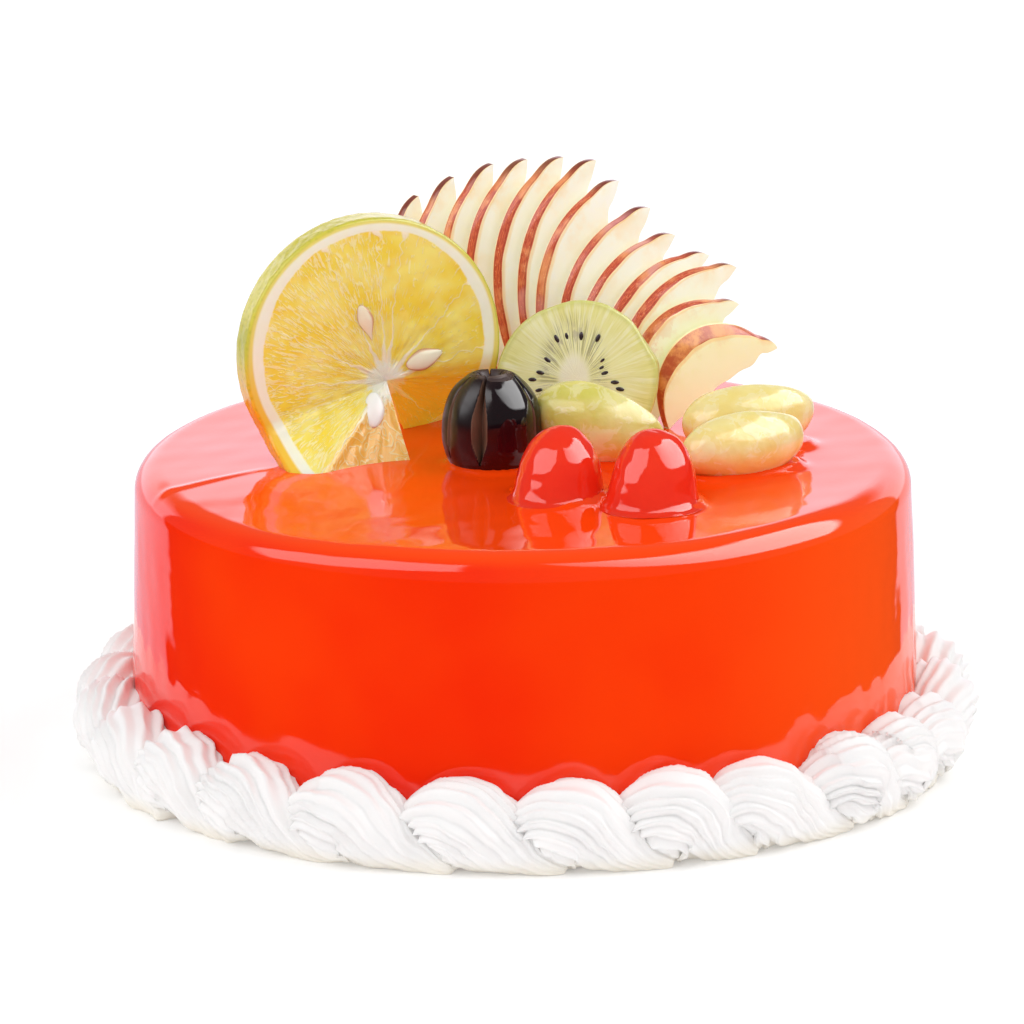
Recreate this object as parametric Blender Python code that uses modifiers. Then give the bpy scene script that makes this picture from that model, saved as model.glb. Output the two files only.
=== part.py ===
"""Fresh fruit cake: a round glazed cake, a piped cream border and cut fruit on its top.

Metres, +Z up, -Y is the front. The origin is the centre of the cake's base, on the
surface that it stands on. Angles round the cake are measured from the front (-Y)
and grow to the right, towards +X.
"""
import math
import random

import bmesh
import bpy
from mathutils import Matrix, Vector

# Cake
CAKE_HEIGHT = 0.079
CAKE_RADIUS_TOP = 0.101      # just under the shoulder
CAKE_RADIUS_FOOT = 0.103     # at the base, which is a little wider
SHOULDER_RADIUS = 0.0075
CAKE_SEGMENTS = 96
SHOULDER_STEPS = 6
TOP_RING_SHARE = 0.55        # where a ring of edges divides the flat top
GAP = 0.0003                 # between a piece and what it rests on or touches
FRUIT_FLOOR = CAKE_HEIGHT + GAP

# Piped cream border: one shell after another, each tail ending at the next head
SHELL_TOPS_FRONT = (-41.1, -25.1, -8.9, 5.5, 19.9, 32.3, 48.3, 60.5, 72.2)
SHELLS_BEHIND = 17
SHELL_HEAD = 0.0125          # along the border, from the blunt end to the highest point
SHELL_RADIUS = 0.0124        # of the fattest section
SHELL_TAIL_SHARE = 0.56      # tail radius as a share of the fattest
SHELL_OUT = 0.0030           # centre line's distance from the cake's side
SHELL_AXIS_HIGH = 0.0108     # centre line's height in the head
SHELL_AXIS_LOW = 0.0058      # and at the tail's end
SHELL_RIDGES = 8             # on the side that shows
SHELL_GROOVE = 0.14          # groove depth as a share of the radius
SHELL_BLUNTNESS = 2.6        # of the head: 2 is round, more is blunter
SHELL_NARROWING = 0.85       # below 1 the tail narrows early
SHELL_CORNER = 0.75          # the section's inner corner lies within this share
SHELL_HEAD_STATIONS = (0.05, 0.25, 0.60, 1.0)     # shares of the head
SHELL_TAIL_STATIONS = (0.35, 0.70, 1.0)           # shares of the tail

# Citrus wheel, slit from its core to the rim and twisted so that it stands
WHEEL_RADIUS = 0.0354
WHEEL_THICKNESS = 0.0084
WHEEL_CENTRE = (-0.0384, 0.0060, 0.1055)   # of its front face
WHEEL_YAW = math.radians(22)
WHEEL_CORE = (0.0033, -0.0080)             # from the centre, along the face
WHEEL_SLIT = math.radians(-70)
FRONT_FLAP = (0.75, math.radians(60), math.radians(36))    # slope, start, span
BACK_FLAP = (-1.05, math.radians(280), math.radians(65))
WHEEL_SPOKES = 40
WHEEL_RINGS = (0.45, 0.80, 1.0)

# Fan of thin crescent slices with red skin
FAN_COUNT = 13
FAN_BACK = (-0.012, 0.057)   # where the rearmost slice stands
FAN_FRONT = (0.038, 0.027)   # where the foremost slice stands
FAN_YAW = math.radians(38)
# Of each slice, from the rearmost on: degrees up from level, and length in millimetres
FAN_LEAN = (107.9, 100.9, 93.8, 88.7, 82.9, 78.2, 75.3, 67.9, 61.8, 52.8, 46.8, 43.3, 22.7)
FAN_CHORD = (61.0, 63.7, 65.5, 66.3, 66.9, 66.7, 61.9, 56.3, 50.9, 49.1, 49.0, 39.4, 38.8)
FAN_BULGE = 0.0185           # from the chord to the skin
FAN_THICKNESS = 0.0023
FAN_SKIN_SLANT = 0.0010      # the back face reaches this much further
FAN_HOLLOW = 0.0016          # of the inner edge
FAN_EARLY = (0.9, 0.4)       # how the skin rises from the foot: slim, then plump
FAN_LATE = 0.6               # and how it falls to the tip
FAN_EDGE_STEPS = 16

# Green fruit slice that stands in front of the fan
DISC_CENTRE = (0.0145, 0.0190, 0.0937)
DISC_RADIUS = 0.0211
DISC_THICKNESS = 0.0060
DISC_LEAN = math.radians(15.7)
DISC_SEGMENTS = 44
DISC_WAVES = ((5, 0.010, 0.6), (9, 0.007, 0.0))    # count, share of the radius, phase
DISC_ROUNDING = 0.0009

# Halved green grapes: centre, half length, radius, yaw, tilt
GREEN_GRAPES = {
    "green_grape_middle": ((0.0200, -0.0045, 0.0883), 0.0178, 0.0112, -10, 14),
    "green_grape_right": ((0.0566, -0.0184, 0.0862), 0.0178, 0.0092, 31, -3),
    "green_grape_back": ((0.0587, 0.0050, 0.0872), 0.0178, 0.0098, 17, -5),
}
GRAPE_CUT_NORMAL = (0.20, 0.78, 0.60)
GRAPE_CUT_OFFSET = 0.0045

# Dark grape, cut from the top into petals
DARK_GRAPE_PLACE = (-0.0080, -0.0090)
DARK_GRAPE_RADIUS = 0.0128
DARK_GRAPE_HEIGHT = 0.0240
DARK_GRAPE_SLITS = (-105, -35, 35, 95, 155, 215)    # degrees round the grape
DARK_GRAPE_STEP = 10         # degrees between the points of a ring
DARK_GRAPE_WIDEST = 0.46     # share of the height
DARK_GRAPE_OUTSIDE = (       # shares of the radius and the height, from the foot
    (0.80, 0.0), (0.92, 0.12), (1.0, 0.36), (0.99, 0.55), (0.85, 0.78), (0.58, 0.95),
)
DARK_GRAPE_INSIDE = ((0.36, 1.0), (0.24, 0.92), (0.14, 0.74))
DARK_GRAPE_PIT = 0.62        # height of the lowest point between the petals
SLIT_SPAN = (0.1, 0.7)       # heights from which and at which a slit is fully open
SLIT_DEPTH = 0.34            # share of the radius
SLIT_DROP = 0.16             # share of the height

# Glazed cherries: place, radius, height above the cake's top
CHERRIES = {
    "cherry_left": ((0.0097, -0.0403), 0.0105, 0.0177),
    "cherry_right": ((0.0333, -0.0492), 0.0107, 0.0192),
}
CHERRY_FLARE = 1.12          # width of the glaze at its foot, as a share
CHERRY_WIDEST = 0.30         # share of the height
CHERRY_NECK = 0.12           # share of the height from which the glaze flares out
CHERRY_STEPS = 7
CHERRY_SEGMENTS = 24


def clear_scene():
    for obj in list(bpy.data.objects):
        bpy.data.objects.remove(obj, do_unlink=True)


def new_collection(name):
    collection = bpy.data.collections.new(name)
    bpy.context.scene.collection.children.link(collection)
    return collection


def new_material(name, colour, roughness):
    material = bpy.data.materials.new(name)
    material.use_nodes = True
    shader = material.node_tree.nodes["Principled BSDF"]
    shader.inputs["Base Color"].default_value = (*colour, 1.0)
    shader.inputs["Roughness"].default_value = roughness
    shader.inputs["Metallic"].default_value = 0.0
    return material


def add_object(name, bm, collection, material=None):
    """Make an object of a bmesh, with its faces pointing out and shaded smooth."""
    bmesh.ops.recalc_face_normals(bm, faces=bm.faces)
    mesh = bpy.data.meshes.new(name)
    bm.to_mesh(mesh)
    bm.free()
    mesh.shade_smooth()
    mesh.set_sharp_from_angle(angle=math.radians(40))
    obj = bpy.data.objects.new(name, mesh)
    collection.objects.link(obj)
    if material:
        mesh.materials.append(material)
    else:
        obj.hide_render = True
        obj.display_type = "WIRE"
    return obj


def cut(obj, cutter):
    boolean = obj.modifiers.new("cut by " + cutter.name, "BOOLEAN")
    boolean.operation = "DIFFERENCE"
    boolean.solver = "EXACT"
    boolean.object = cutter


def ease(value):
    """Smooth step from 0 to 1."""
    value = min(max(value, 0.0), 1.0)
    return value * value * (3 - 2 * value)


def mix(first, second, share):
    return first + (second - first) * share


def loft(rings, start=None, end=None):
    """Join closed rings of equally many points; start and end close it to a point."""
    bm = bmesh.new()
    loops = [[bm.verts.new(point) for point in ring] for ring in rings]
    for near, far in zip(loops, loops[1:]):
        for i, corner in enumerate(near):
            j = (i + 1) % len(near)
            bm.faces.new((corner, near[j], far[j], far[i]))
    for loop, tip in ((loops[0], start), (loops[-1], end)):
        if tip is None:
            bm.faces.new(loop)
            continue
        apex = bm.verts.new(tip)
        for i, corner in enumerate(loop):
            bm.faces.new((corner, loop[(i + 1) % len(loop)], apex))
    return bm


def turned(name, profile, collection, material, segments):
    """Turn a profile of (radius, height), which runs down the outside, about Z."""
    mesh = bpy.data.meshes.new(name)
    points = [(radius, 0.0, height) for radius, height in profile]
    mesh.from_pydata(points, [(i, i + 1) for i in range(len(points) - 1)], [])
    obj = bpy.data.objects.new(name, mesh)
    collection.objects.link(obj)
    screw = obj.modifiers.new("turn", "SCREW")
    screw.steps = screw.render_steps = segments
    screw.use_merge_vertices = True
    screw.merge_threshold = 1e-5
    screw.use_smooth_shade = True
    mesh.materials.append(material)
    return obj


def make_cake(collection, material):
    profile = [(0.0, CAKE_HEIGHT), (CAKE_RADIUS_TOP * TOP_RING_SHARE, CAKE_HEIGHT)]
    for step in range(SHOULDER_STEPS + 1):
        turn = math.radians(90) * step / SHOULDER_STEPS
        profile.append((
            CAKE_RADIUS_TOP - SHOULDER_RADIUS + SHOULDER_RADIUS * math.sin(turn),
            CAKE_HEIGHT - SHOULDER_RADIUS + SHOULDER_RADIUS * math.cos(turn),
        ))
    profile += [(CAKE_RADIUS_FOOT, 0.0), (0.0, 0.0)]
    turned("cake", profile, collection, material, CAKE_SEGMENTS)


def make_top_keep_out(collection):
    """Cutter: everything below the level on which the fruit rests."""
    width, depth = 2.4 * CAKE_RADIUS_TOP, 0.8 * CAKE_HEIGHT
    bm = bmesh.new()
    bmesh.ops.create_cube(bm, size=1.0)
    bmesh.ops.scale(bm, vec=(width, width, depth), verts=bm.verts)
    bmesh.ops.translate(bm, vec=(0, 0, FRUIT_FLOOR - depth / 2), verts=bm.verts)
    return add_object("top_keep_out", bm, collection)


def shell_tops():
    """Angles of the shells' highest points, in degrees, going round to the right."""
    first, last = SHELL_TOPS_FRONT[0], SHELL_TOPS_FRONT[-1]
    step = (360 + first - last) / (SHELLS_BEHIND + 1)
    return list(SHELL_TOPS_FRONT) + [last + step * (i + 1) for i in range(SHELLS_BEHIND)]


def shell_section(radius, high):
    """Ridged outline round the axis, cut by the cake's side and the floor."""
    low = -math.asin(min(high / radius, 1.0))
    top = math.acos(-min(SHELL_OUT / radius, 1.0))
    steps = 2 * SHELL_RIDGES
    outline = []
    for i in range(steps + 1):
        angle = mix(low, top, i / steps)
        reach = radius * (1 - SHELL_GROOVE * (i % 2 == 1))
        outline.append((reach * math.cos(angle), reach * math.sin(angle)))
    corner = SHELL_CORNER * radius
    outline.append((-min(SHELL_OUT, corner), -min(high, corner)))
    return outline


def round_the_cake(angle, radius, height):
    return Vector((radius * math.sin(angle), -radius * math.cos(angle), height))


def shell_mesh(top_angle, next_angle, size, lift):
    """One piped shell: a ridged teardrop along the cake's foot, up to the next head."""
    centre_radius = CAKE_RADIUS_FOOT + GAP + SHELL_OUT
    tail = math.radians(next_angle - top_angle) * centre_radius - SHELL_HEAD - GAP
    head_height = SHELL_AXIS_HIGH + lift

    def place(along, across, up):
        angle = math.radians(top_angle) + along / centre_radius
        return round_the_cake(angle, centre_radius + across, up)

    stations = [
        ((share - 1) * SHELL_HEAD, math.sqrt(1 - (1 - share) ** SHELL_BLUNTNESS), head_height)
        for share in SHELL_HEAD_STATIONS
    ]
    for share in SHELL_TAIL_STATIONS:
        fall = ease(share)
        narrowing = mix(1.0, SHELL_TAIL_SHARE, fall ** SHELL_NARROWING)
        stations.append((share * tail, narrowing, mix(head_height, SHELL_AXIS_LOW, fall)))

    rings = []
    for along, share, high in stations:
        section = shell_section(SHELL_RADIUS * size * share, high)
        rings.append([place(along, across, high + up) for across, up in section])
    return loft(rings, start=place(-SHELL_HEAD, 0.0, head_height))


def make_shells(collection, material):
    rng = random.Random(7)
    tops = shell_tops()
    for i, (top, after) in enumerate(zip(tops, tops[1:] + [tops[0] + 360])):
        size, lift = rng.uniform(0.94, 1.04), rng.uniform(-0.0006, 0.0009)
        shell = shell_mesh(top, after, size, lift)
        add_object(f"cream_shell_{i + 1:02d}", shell, collection, material)


def flap_slope(turn):
    """How far the wheel bends to the front for each metre from the core."""
    slope, start, span = FRONT_FLAP
    front = slope * (1 - ease((turn - start) / span))
    slope, start, span = BACK_FLAP
    return front + slope * ease((turn - start) / span)


def wheel_point(turn, share, depth):
    """Point of the citrus wheel: turn from the slit, share of the way to the rim."""
    angle = WHEEL_SLIT - turn
    direction = Vector((math.cos(angle), math.sin(angle)))
    core = Vector(WHEEL_CORE)
    inward = core.dot(direction)
    rim = -inward + math.sqrt(inward ** 2 - core.length_squared + WHEEL_RADIUS ** 2)
    reach = share * rim
    across, up = core + direction * reach
    right = Vector((math.cos(WHEEL_YAW), math.sin(WHEEL_YAW), 0))
    forward = Vector((math.sin(WHEEL_YAW), -math.cos(WHEEL_YAW), 0))
    bend = Vector((0, -flap_slope(turn) * reach, 0))
    flat = Vector(WHEEL_CENTRE) + right * across + Vector((0, 0, up))
    return flat - forward * depth + bend


def make_citrus_wheel(collection, material, keep_out):
    """A sector of nearly a full turn, swept from one side of the slit to the other."""
    bm = bmesh.new()
    hubs = [bm.verts.new(wheel_point(0, 0, depth)) for depth in (0, WHEEL_THICKNESS)]
    outline = [(share, 0) for share in WHEEL_RINGS]
    outline += [(share, WHEEL_THICKNESS) for share in reversed(WHEEL_RINGS)]
    spokes = []
    for step in range(WHEEL_SPOKES + 1):
        turn = 2 * math.pi * step / WHEEL_SPOKES
        spokes.append([bm.verts.new(wheel_point(turn, *place)) for place in outline])
    for near, far in zip(spokes, spokes[1:]):
        bm.faces.new((hubs[0], near[0], far[0]))
        bm.faces.new((hubs[1], far[-1], near[-1]))
        for i in range(len(outline) - 1):
            bm.faces.new((near[i], near[i + 1], far[i + 1], far[i]))
    bm.faces.new([hubs[0], *spokes[0], hubs[1]])
    bm.faces.new([hubs[0], *spokes[-1], hubs[1]])
    cut(add_object("citrus_wheel", bm, collection, material), keep_out)


def crescent(chord, early, slant):
    """Outline of a slice along and across its chord, skin side first, from the foot."""
    peak = early / (early + FAN_LATE)
    crest = peak ** early * (1 - peak) ** FAN_LATE
    points = []
    for step in range(FAN_EDGE_STEPS + 1):
        share = (1 - math.cos(math.pi * step / FAN_EDGE_STEPS)) / 2
        height = share ** early * (1 - share) ** FAN_LATE / crest
        points.append((share * chord, height * (FAN_BULGE + slant)))
    for share in (0.75, 0.5, 0.25):
        points.append((share * chord, FAN_HOLLOW * math.sin(math.pi * share)))
    return points


def make_fan(collection, material, keep_out):
    """Thin slices that stand one in front of the other, each leaning further over."""
    right = Vector((math.cos(FAN_YAW), math.sin(FAN_YAW), 0))
    forward = Vector((math.sin(FAN_YAW), -math.cos(FAN_YAW), 0))
    for i in range(FAN_COUNT):
        share = i / (FAN_COUNT - 1)
        foot = Vector((*Vector(FAN_BACK).lerp(Vector(FAN_FRONT), share), CAKE_HEIGHT))
        lean = math.radians(FAN_LEAN[i])
        chord = FAN_CHORD[i] / 1000
        early = mix(*FAN_EARLY, ease((i - 4) / 8))
        along = right * math.cos(lean) + Vector((0, 0, math.sin(lean)))
        across = -right * math.sin(lean) + Vector((0, 0, math.cos(lean)))
        rings = []
        for slant, depth in ((FAN_SKIN_SLANT, -0.5), (0.0, 0.5)):
            shift = forward * FAN_THICKNESS * depth
            outline = crescent(chord, early, slant)
            rings.append([foot + shift + along * a + across * b for a, b in outline])
        name = f"red_skin_slice_{i + 1:02d}"
        cut(add_object(name, loft(rings), collection, material), keep_out)


def make_green_slice(collection, material, keep_out):
    """A round peeled slice with a slightly wavy edge, leaning back on the fan."""
    bm = bmesh.new()
    bmesh.ops.create_cone(
        bm, cap_ends=True, segments=DISC_SEGMENTS, radius1=DISC_RADIUS,
        radius2=DISC_RADIUS, depth=DISC_THICKNESS,
    )
    for vert in bm.verts:
        around = math.atan2(vert.co.y, vert.co.x)
        reach = 1 + sum(
            share * math.sin(count * around + phase) for count, share, phase in DISC_WAVES
        )
        vert.co.x *= reach
        vert.co.y *= reach
    tilt = Matrix.Rotation(math.pi / 2 - DISC_LEAN, 4, "X")
    bmesh.ops.transform(bm, matrix=Matrix.Translation(DISC_CENTRE) @ tilt, verts=bm.verts)
    slice_ = add_object("green_fruit_slice", bm, collection, material)
    rounding = slice_.modifiers.new("rounded rim", "BEVEL")
    rounding.width = DISC_ROUNDING
    rounding.segments = 2
    rounding.limit_method = "ANGLE"
    rounding.angle_limit = math.radians(50)
    cut(slice_, keep_out)


def make_dark_grape_keep_out(collection):
    """Cutter: the room that the dark grape takes beside a green one."""
    bm = bmesh.new()
    room = DARK_GRAPE_RADIUS + 2 * GAP
    bmesh.ops.create_uvsphere(bm, u_segments=24, v_segments=16, radius=room)
    middle = FRUIT_FLOOR + DARK_GRAPE_WIDEST * DARK_GRAPE_HEIGHT
    bmesh.ops.translate(bm, vec=(*DARK_GRAPE_PLACE, middle), verts=bm.verts)
    return add_object("dark_grape_keep_out", bm, collection)


def make_green_grape(name, collection, material, keep_outs):
    """An oval grape with one side cut flat, which lies on the cake."""
    centre, half_length, radius, yaw, tilt = GREEN_GRAPES[name]
    bm = bmesh.new()
    bmesh.ops.create_uvsphere(bm, u_segments=18, v_segments=12, radius=1.0)
    bmesh.ops.rotate(bm, cent=(0, 0, 0), verts=bm.verts,
                     matrix=Matrix.Rotation(math.pi / 2, 3, "Y"))
    bmesh.ops.scale(bm, vec=(half_length, radius, radius), verts=bm.verts)
    turn = (Matrix.Rotation(math.radians(yaw), 3, "Z")
            @ Matrix.Rotation(math.radians(tilt), 3, "Y"))
    bmesh.ops.rotate(bm, cent=(0, 0, 0), matrix=turn, verts=bm.verts)
    normal = (turn @ Vector(GRAPE_CUT_NORMAL)).normalized()
    geometry = bm.verts[:] + bm.edges[:] + bm.faces[:]
    sliced = bmesh.ops.bisect_plane(
        bm, geom=geometry, dist=1e-6, plane_co=normal * GRAPE_CUT_OFFSET,
        plane_no=normal, clear_outer=True,
    )
    rim = [part for part in sliced["geom_cut"] if isinstance(part, bmesh.types.BMEdge)]
    bmesh.ops.edgeloop_fill(bm, edges=rim)
    bmesh.ops.translate(bm, vec=centre, verts=bm.verts)
    grape = add_object(name, bm, collection, material)
    for cutter in keep_outs:
        cut(grape, cutter)


def make_dark_grape(collection, material):
    """A round grape whose top is slit into petals that open a little."""
    centre = Vector((*DARK_GRAPE_PLACE, FRUIT_FLOOR))
    slit_low, slit_high = SLIT_SPAN
    turns = range(DARK_GRAPE_SLITS[0], DARK_GRAPE_SLITS[0] + 360, DARK_GRAPE_STEP)
    rings = []
    for radius, height in DARK_GRAPE_OUTSIDE + DARK_GRAPE_INSIDE:
        opening = ease((height - slit_low) / (slit_high - slit_low))
        ring = []
        for turn in turns:
            slit = opening if turn in DARK_GRAPE_SLITS else 0.0
            reach = DARK_GRAPE_RADIUS * radius * (1 - SLIT_DEPTH * slit)
            lift = DARK_GRAPE_HEIGHT * height * (1 - SLIT_DROP * slit)
            around = math.radians(turn)
            offset = Vector((reach * math.cos(around), reach * math.sin(around), lift))
            ring.append(centre + offset)
        rings.append(ring)
    pit = centre + Vector((0, 0, DARK_GRAPE_PIT * DARK_GRAPE_HEIGHT))
    add_object("dark_grape", loft(rings, end=pit), collection, material)


def make_cherry(name, collection, material):
    """A glazed dome, a little egg-shaped, whose glaze flares out at its foot."""
    place, radius, height = CHERRIES[name]
    profile = []
    for step in range(CHERRY_STEPS + 1):
        turn = math.radians(90) * step / CHERRY_STEPS
        rise = mix(CHERRY_WIDEST, 1.0, math.cos(turn))
        profile.append((radius * math.sin(turn) ** 0.9, rise))
    profile += [(radius, CHERRY_NECK), (radius * CHERRY_FLARE, 0.0), (0.0, 0.0)]
    profile = [(r, h * height) for r, h in profile]
    cherry = turned(name, profile, collection, material, CHERRY_SEGMENTS)
    cherry.location = (*place, FRUIT_FLOOR)


def main():
    clear_scene()
    parts = new_collection("fresh_fruit_cake")
    cutters = new_collection("cutters")
    glaze = new_material("glaze", (0.95, 0.05, 0.005), 0.08)
    cream = new_material("cream", (0.93, 0.92, 0.92), 0.45)
    citrus = new_material("citrus", (0.86, 0.55, 0.06), 0.3)
    slices = new_material("red_skin_slices", (0.90, 0.75, 0.42), 0.4)
    green = new_material("green_slice", (0.55, 0.60, 0.18), 0.35)
    grape = new_material("green_grapes", (0.72, 0.66, 0.18), 0.2)
    dark = new_material("dark_grape", (0.02, 0.006, 0.01), 0.15)
    cherry = new_material("cherries", (0.75, 0.03, 0.01), 0.08)

    make_cake(parts, glaze)
    make_shells(parts, cream)
    top = make_top_keep_out(cutters)
    make_citrus_wheel(parts, citrus, top)
    make_fan(parts, slices, top)
    make_green_slice(parts, green, top)
    beside_dark = make_dark_grape_keep_out(cutters)
    for name in GREEN_GRAPES:
        make_green_grape(name, parts, grape, (top, beside_dark))
    make_dark_grape(parts, dark)
    for name in CHERRIES:
        make_cherry(name, parts, cherry)


main()
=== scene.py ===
"""Fresh fruit cake: the look of every piece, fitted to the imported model.

Metres, +Z up, -Y is the front, and the origin is the centre of the cake's base.
Angles round the cake are measured from the front and grow to the right, towards +X.
"""
import math
from functools import reduce

import bmesh
import bpy
import numpy as np
from mathutils import Matrix, Vector


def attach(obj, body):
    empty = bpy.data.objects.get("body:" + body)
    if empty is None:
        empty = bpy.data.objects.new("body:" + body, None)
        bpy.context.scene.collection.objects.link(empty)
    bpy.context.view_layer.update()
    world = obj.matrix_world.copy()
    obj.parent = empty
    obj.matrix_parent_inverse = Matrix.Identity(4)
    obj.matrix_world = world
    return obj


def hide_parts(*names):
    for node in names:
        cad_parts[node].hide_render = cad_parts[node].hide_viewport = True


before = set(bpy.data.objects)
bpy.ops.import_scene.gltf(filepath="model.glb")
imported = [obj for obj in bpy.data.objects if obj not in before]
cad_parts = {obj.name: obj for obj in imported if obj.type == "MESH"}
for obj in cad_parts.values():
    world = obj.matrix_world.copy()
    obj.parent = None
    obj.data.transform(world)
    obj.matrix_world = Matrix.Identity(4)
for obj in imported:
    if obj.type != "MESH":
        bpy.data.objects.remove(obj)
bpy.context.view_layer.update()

MM = 0.001
DEG = math.pi / 180
FULL_TURN = 2 * math.pi
UP = np.array([0.0, 0.0, 1.0])
FRONT = np.array([0.0, -1.0, 0.0])

# Camera, at the photograph's viewing angle
CAMERA_ELEVATION = 15.7 * DEG
CAMERA_DISTANCE = 2.0
CAMERA_TARGET = (-2.9 * MM, 6.2 * MM, 62.0 * MM)
CAMERA_PIVOT = (0.0, 0.0, 40.0 * MM)
CAMERA_ROLL = -0.45 * DEG
SENSOR_WIDTH = 36.0          # Blender's lens units are millimetres
FOCAL_SHARE = 7650 / 1024    # focal length as a share of the picture's width

# Cake
TOP = 79.0 * MM
WALL_TOP = 101.0 * MM        # radius just under the shoulder
WALL_FOOT = 103.0 * MM
SHOULDER = 7.5 * MM
GLAZE_DIP = 1.4 * MM         # how far the glaze sags at the front on the left
GLAZE_LIP = 1.6 * MM         # how high it climbs up fruit
GLAZE_SEAM = ((-93.0 * MM, -34.0 * MM), (-64.0 * MM, -11.0 * MM))    # a fold in the glaze
GLAZE_SEAM_SIZE = (0.45 * MM, 1.1 * MM)      # its height and half width
CAKE_COLUMNS = 480
CAKE_RINGS = (84, 18, 30)    # of the top, the shoulder and the wall
FRUIT_SUNK = TOP - 0.5 * MM  # level to which cut fruit reaches into the glaze

# Piped cream
SHELL_TOPS_FRONT = (-41.1, -25.1, -8.9, 5.5, 19.9, 32.3, 48.3, 60.5, 72.2)    # degrees
SHELLS_BEHIND = 17
SHELL_RING = WALL_FOOT + 3.3 * MM    # radius at which the shells' lengths are measured
SHELL_FLOOR = 0.05 * MM
SHELL_SPINE = (   # along, out from the wall, height, radius; millimetres
    (-8.2, 4.4, 8.6, 7.6),
    (-6.4, 4.2, 10.2, 10.0),
    (-2.4, 3.9, 11.7, 11.5),
    (2.5, 3.8, 12.1, 11.9),
    (7.6, 3.9, 10.2, 10.8),
    (12.8, 4.3, 7.2, 8.9),
    (18.0, 5.0, 4.2, 6.4),
    (23.5, 6.0, 2.3, 4.2),
    (28.0, 6.8, 1.5, 2.8),
)
SHELL_RIDGES = 17             # ridges round the rope
SHELL_GROOVES = (0.09, 0.25)  # least and greatest depth of a groove as a share of the radius
SHELL_PETAL = 3.4 * MM        # how far ridges stand out at the blunt end
SHELL_SHARPNESS = 0.60        # of the ridges' crests, from round to sharp
SHELL_TWIST = 2.5             # radians that the ridges turn from the head to the tail
SHELL_GRID = (54, 176)        # rings along it and points in each
SHELL_SEED = 11

# Citrus wheel; its turn is measured from the slit
WHEEL_RADIUS = 35.4 * MM
WHEEL_THICKNESS = 8.4 * MM
WHEEL_ROUNDING = 0.9 * MM
WHEEL_CENTRE = np.array([-38.4, 6.0, 105.5]) * MM
WHEEL_YAW = 22 * DEG
WHEEL_CORE = np.array([3.3, -8.0]) * MM
WHEEL_SLIT = -70 * DEG
FRONT_FLAP = (0.75, 60 * DEG, 36 * DEG)      # slope, start, span
BACK_FLAP = (-1.05, 280 * DEG, 65 * DEG)
FLAP_OVERLAP = 7 * DEG       # by which the rear flap passes behind the front one
WHEEL_GRID = (408, 60, 12)   # turns, and points over a face and over the rim
CUT_EDGE_THICKNESS = 0.35    # of the wheel at the front cut, as a share
MEMBRANES = (62, 112, 138, 175, 197, 208, 245, 277, 343)    # degrees of turn
PITH_START = ((60, 90, 120, 150, 174, 206, 230, 246, 268, 300),     # degrees of turn
              (0.870, 0.862, 0.860, 0.880, 0.900, 0.912, 0.895, 0.882, 0.866, 0.860))
CITRUS_SEEDS = {   # turn and reach of both ends (degrees, mm), width, point at the end, whiteness
    "citrus_seed_upper": ((181.5, 22.0), (181.0, 11.6), 4.6, 1, 0.0),
    "citrus_seed_right": ((260.0, 6.4), (268.5, 17.0), 5.8, 0.45, 0.0),
    "citrus_seed_lower": ((76.0, 4.2), (39.0, 11.0), 5.7, 0, 1.0),
}

# Fan of thin slices
FAN_COUNT = 13
FAN_BACK = np.array([-12, 57]) * MM          # places of the first and the last foot
FAN_FRONT = np.array([38, 27]) * MM
FAN_YAW = 38 * DEG
FAN_LEAN = (107.9, 100.9, 93.8, 88.7, 82.9, 78.2, 75.3, 67.9, 61.8, 52.8, 46.8, 43.3, 22.7)
FAN_CHORD = (61.0, 63.7, 65.5, 66.3, 66.9, 66.7, 61.9, 56.3, 50.9, 49.1, 49.0, 39.4, 38.8)
FAN_EARLY = (0.9, 0.4)       # shape of the skin's curve near the foot, first and last slices
FAN_LATE = 0.6               # and near the tip
FAN_BULGE = 18.5 * MM
FAN_THICKNESS = 2.3 * MM
FAN_SLANT = 1.0 * MM         # how much further the skin reaches behind
FAN_HOLLOW = 1.6 * MM        # of the inner edge
FAN_BEAK = 1.5 * MM          # how far the skin reaches past the flesh at the tip
FAN_INSET = ((0, 4, 8, 9, 10, 11, 12), (0.3, 0.8, 0.3, 0.9, 1.0, 0.8, 3.6))   # mm of more skin
FAN_FRESH = 9                # slices after this one are more and more worn
FAN_GRID = (72, 14, 7)       # steps along it, over a face and over the skin

# Green slice
DISC_CENTRE = np.array([14.5, 19.0, 93.7]) * MM
DISC_RADIUS = 21.1 * MM
DISC_THICKNESS = 6.0 * MM
DISC_ROUNDING = 0.9 * MM
DISC_TILT = math.pi / 2 - 15.7 * DEG
DISC_WAVES = ((5, 0.010, 0.6), (9, 0.007, 0.0))    # count, share of the radius, phase
DISC_CORE = (0.19, 0.36)      # half width and half height of the core, as shares of the radius
DISC_COLUMNS = 240
DISC_SEED = (1.15 * MM, 0.56 * MM, 0.36 * MM)    # half its length, width and thickness
DISC_SEEDS = (                # degrees of turn, share of the radius, how deep it lies (0 or 1)
    (115.5, 0.60, 0), (103.0, 0.58, 1), (85.0, 0.56, 0), (64.5, 0.60, 0), (143.7, 0.46, 1),
    (166.0, 0.47, 0), (177.0, 0.56, 0), (40.0, 0.41, 1), (29.5, 0.35, 1), (17.0, 0.35, 0),
    (-1.5, 0.46, 0), (-10.5, 0.54, 0), (-24.0, 0.50, 0), (-47.0, 0.55, 1), (-66.0, 0.60, 0),
    (-88.0, 0.58, 0), (-110.0, 0.60, 0), (-131.0, 0.53, 1), (-152.0, 0.48, 0), (-168.0, 0.50, 0),
)

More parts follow.
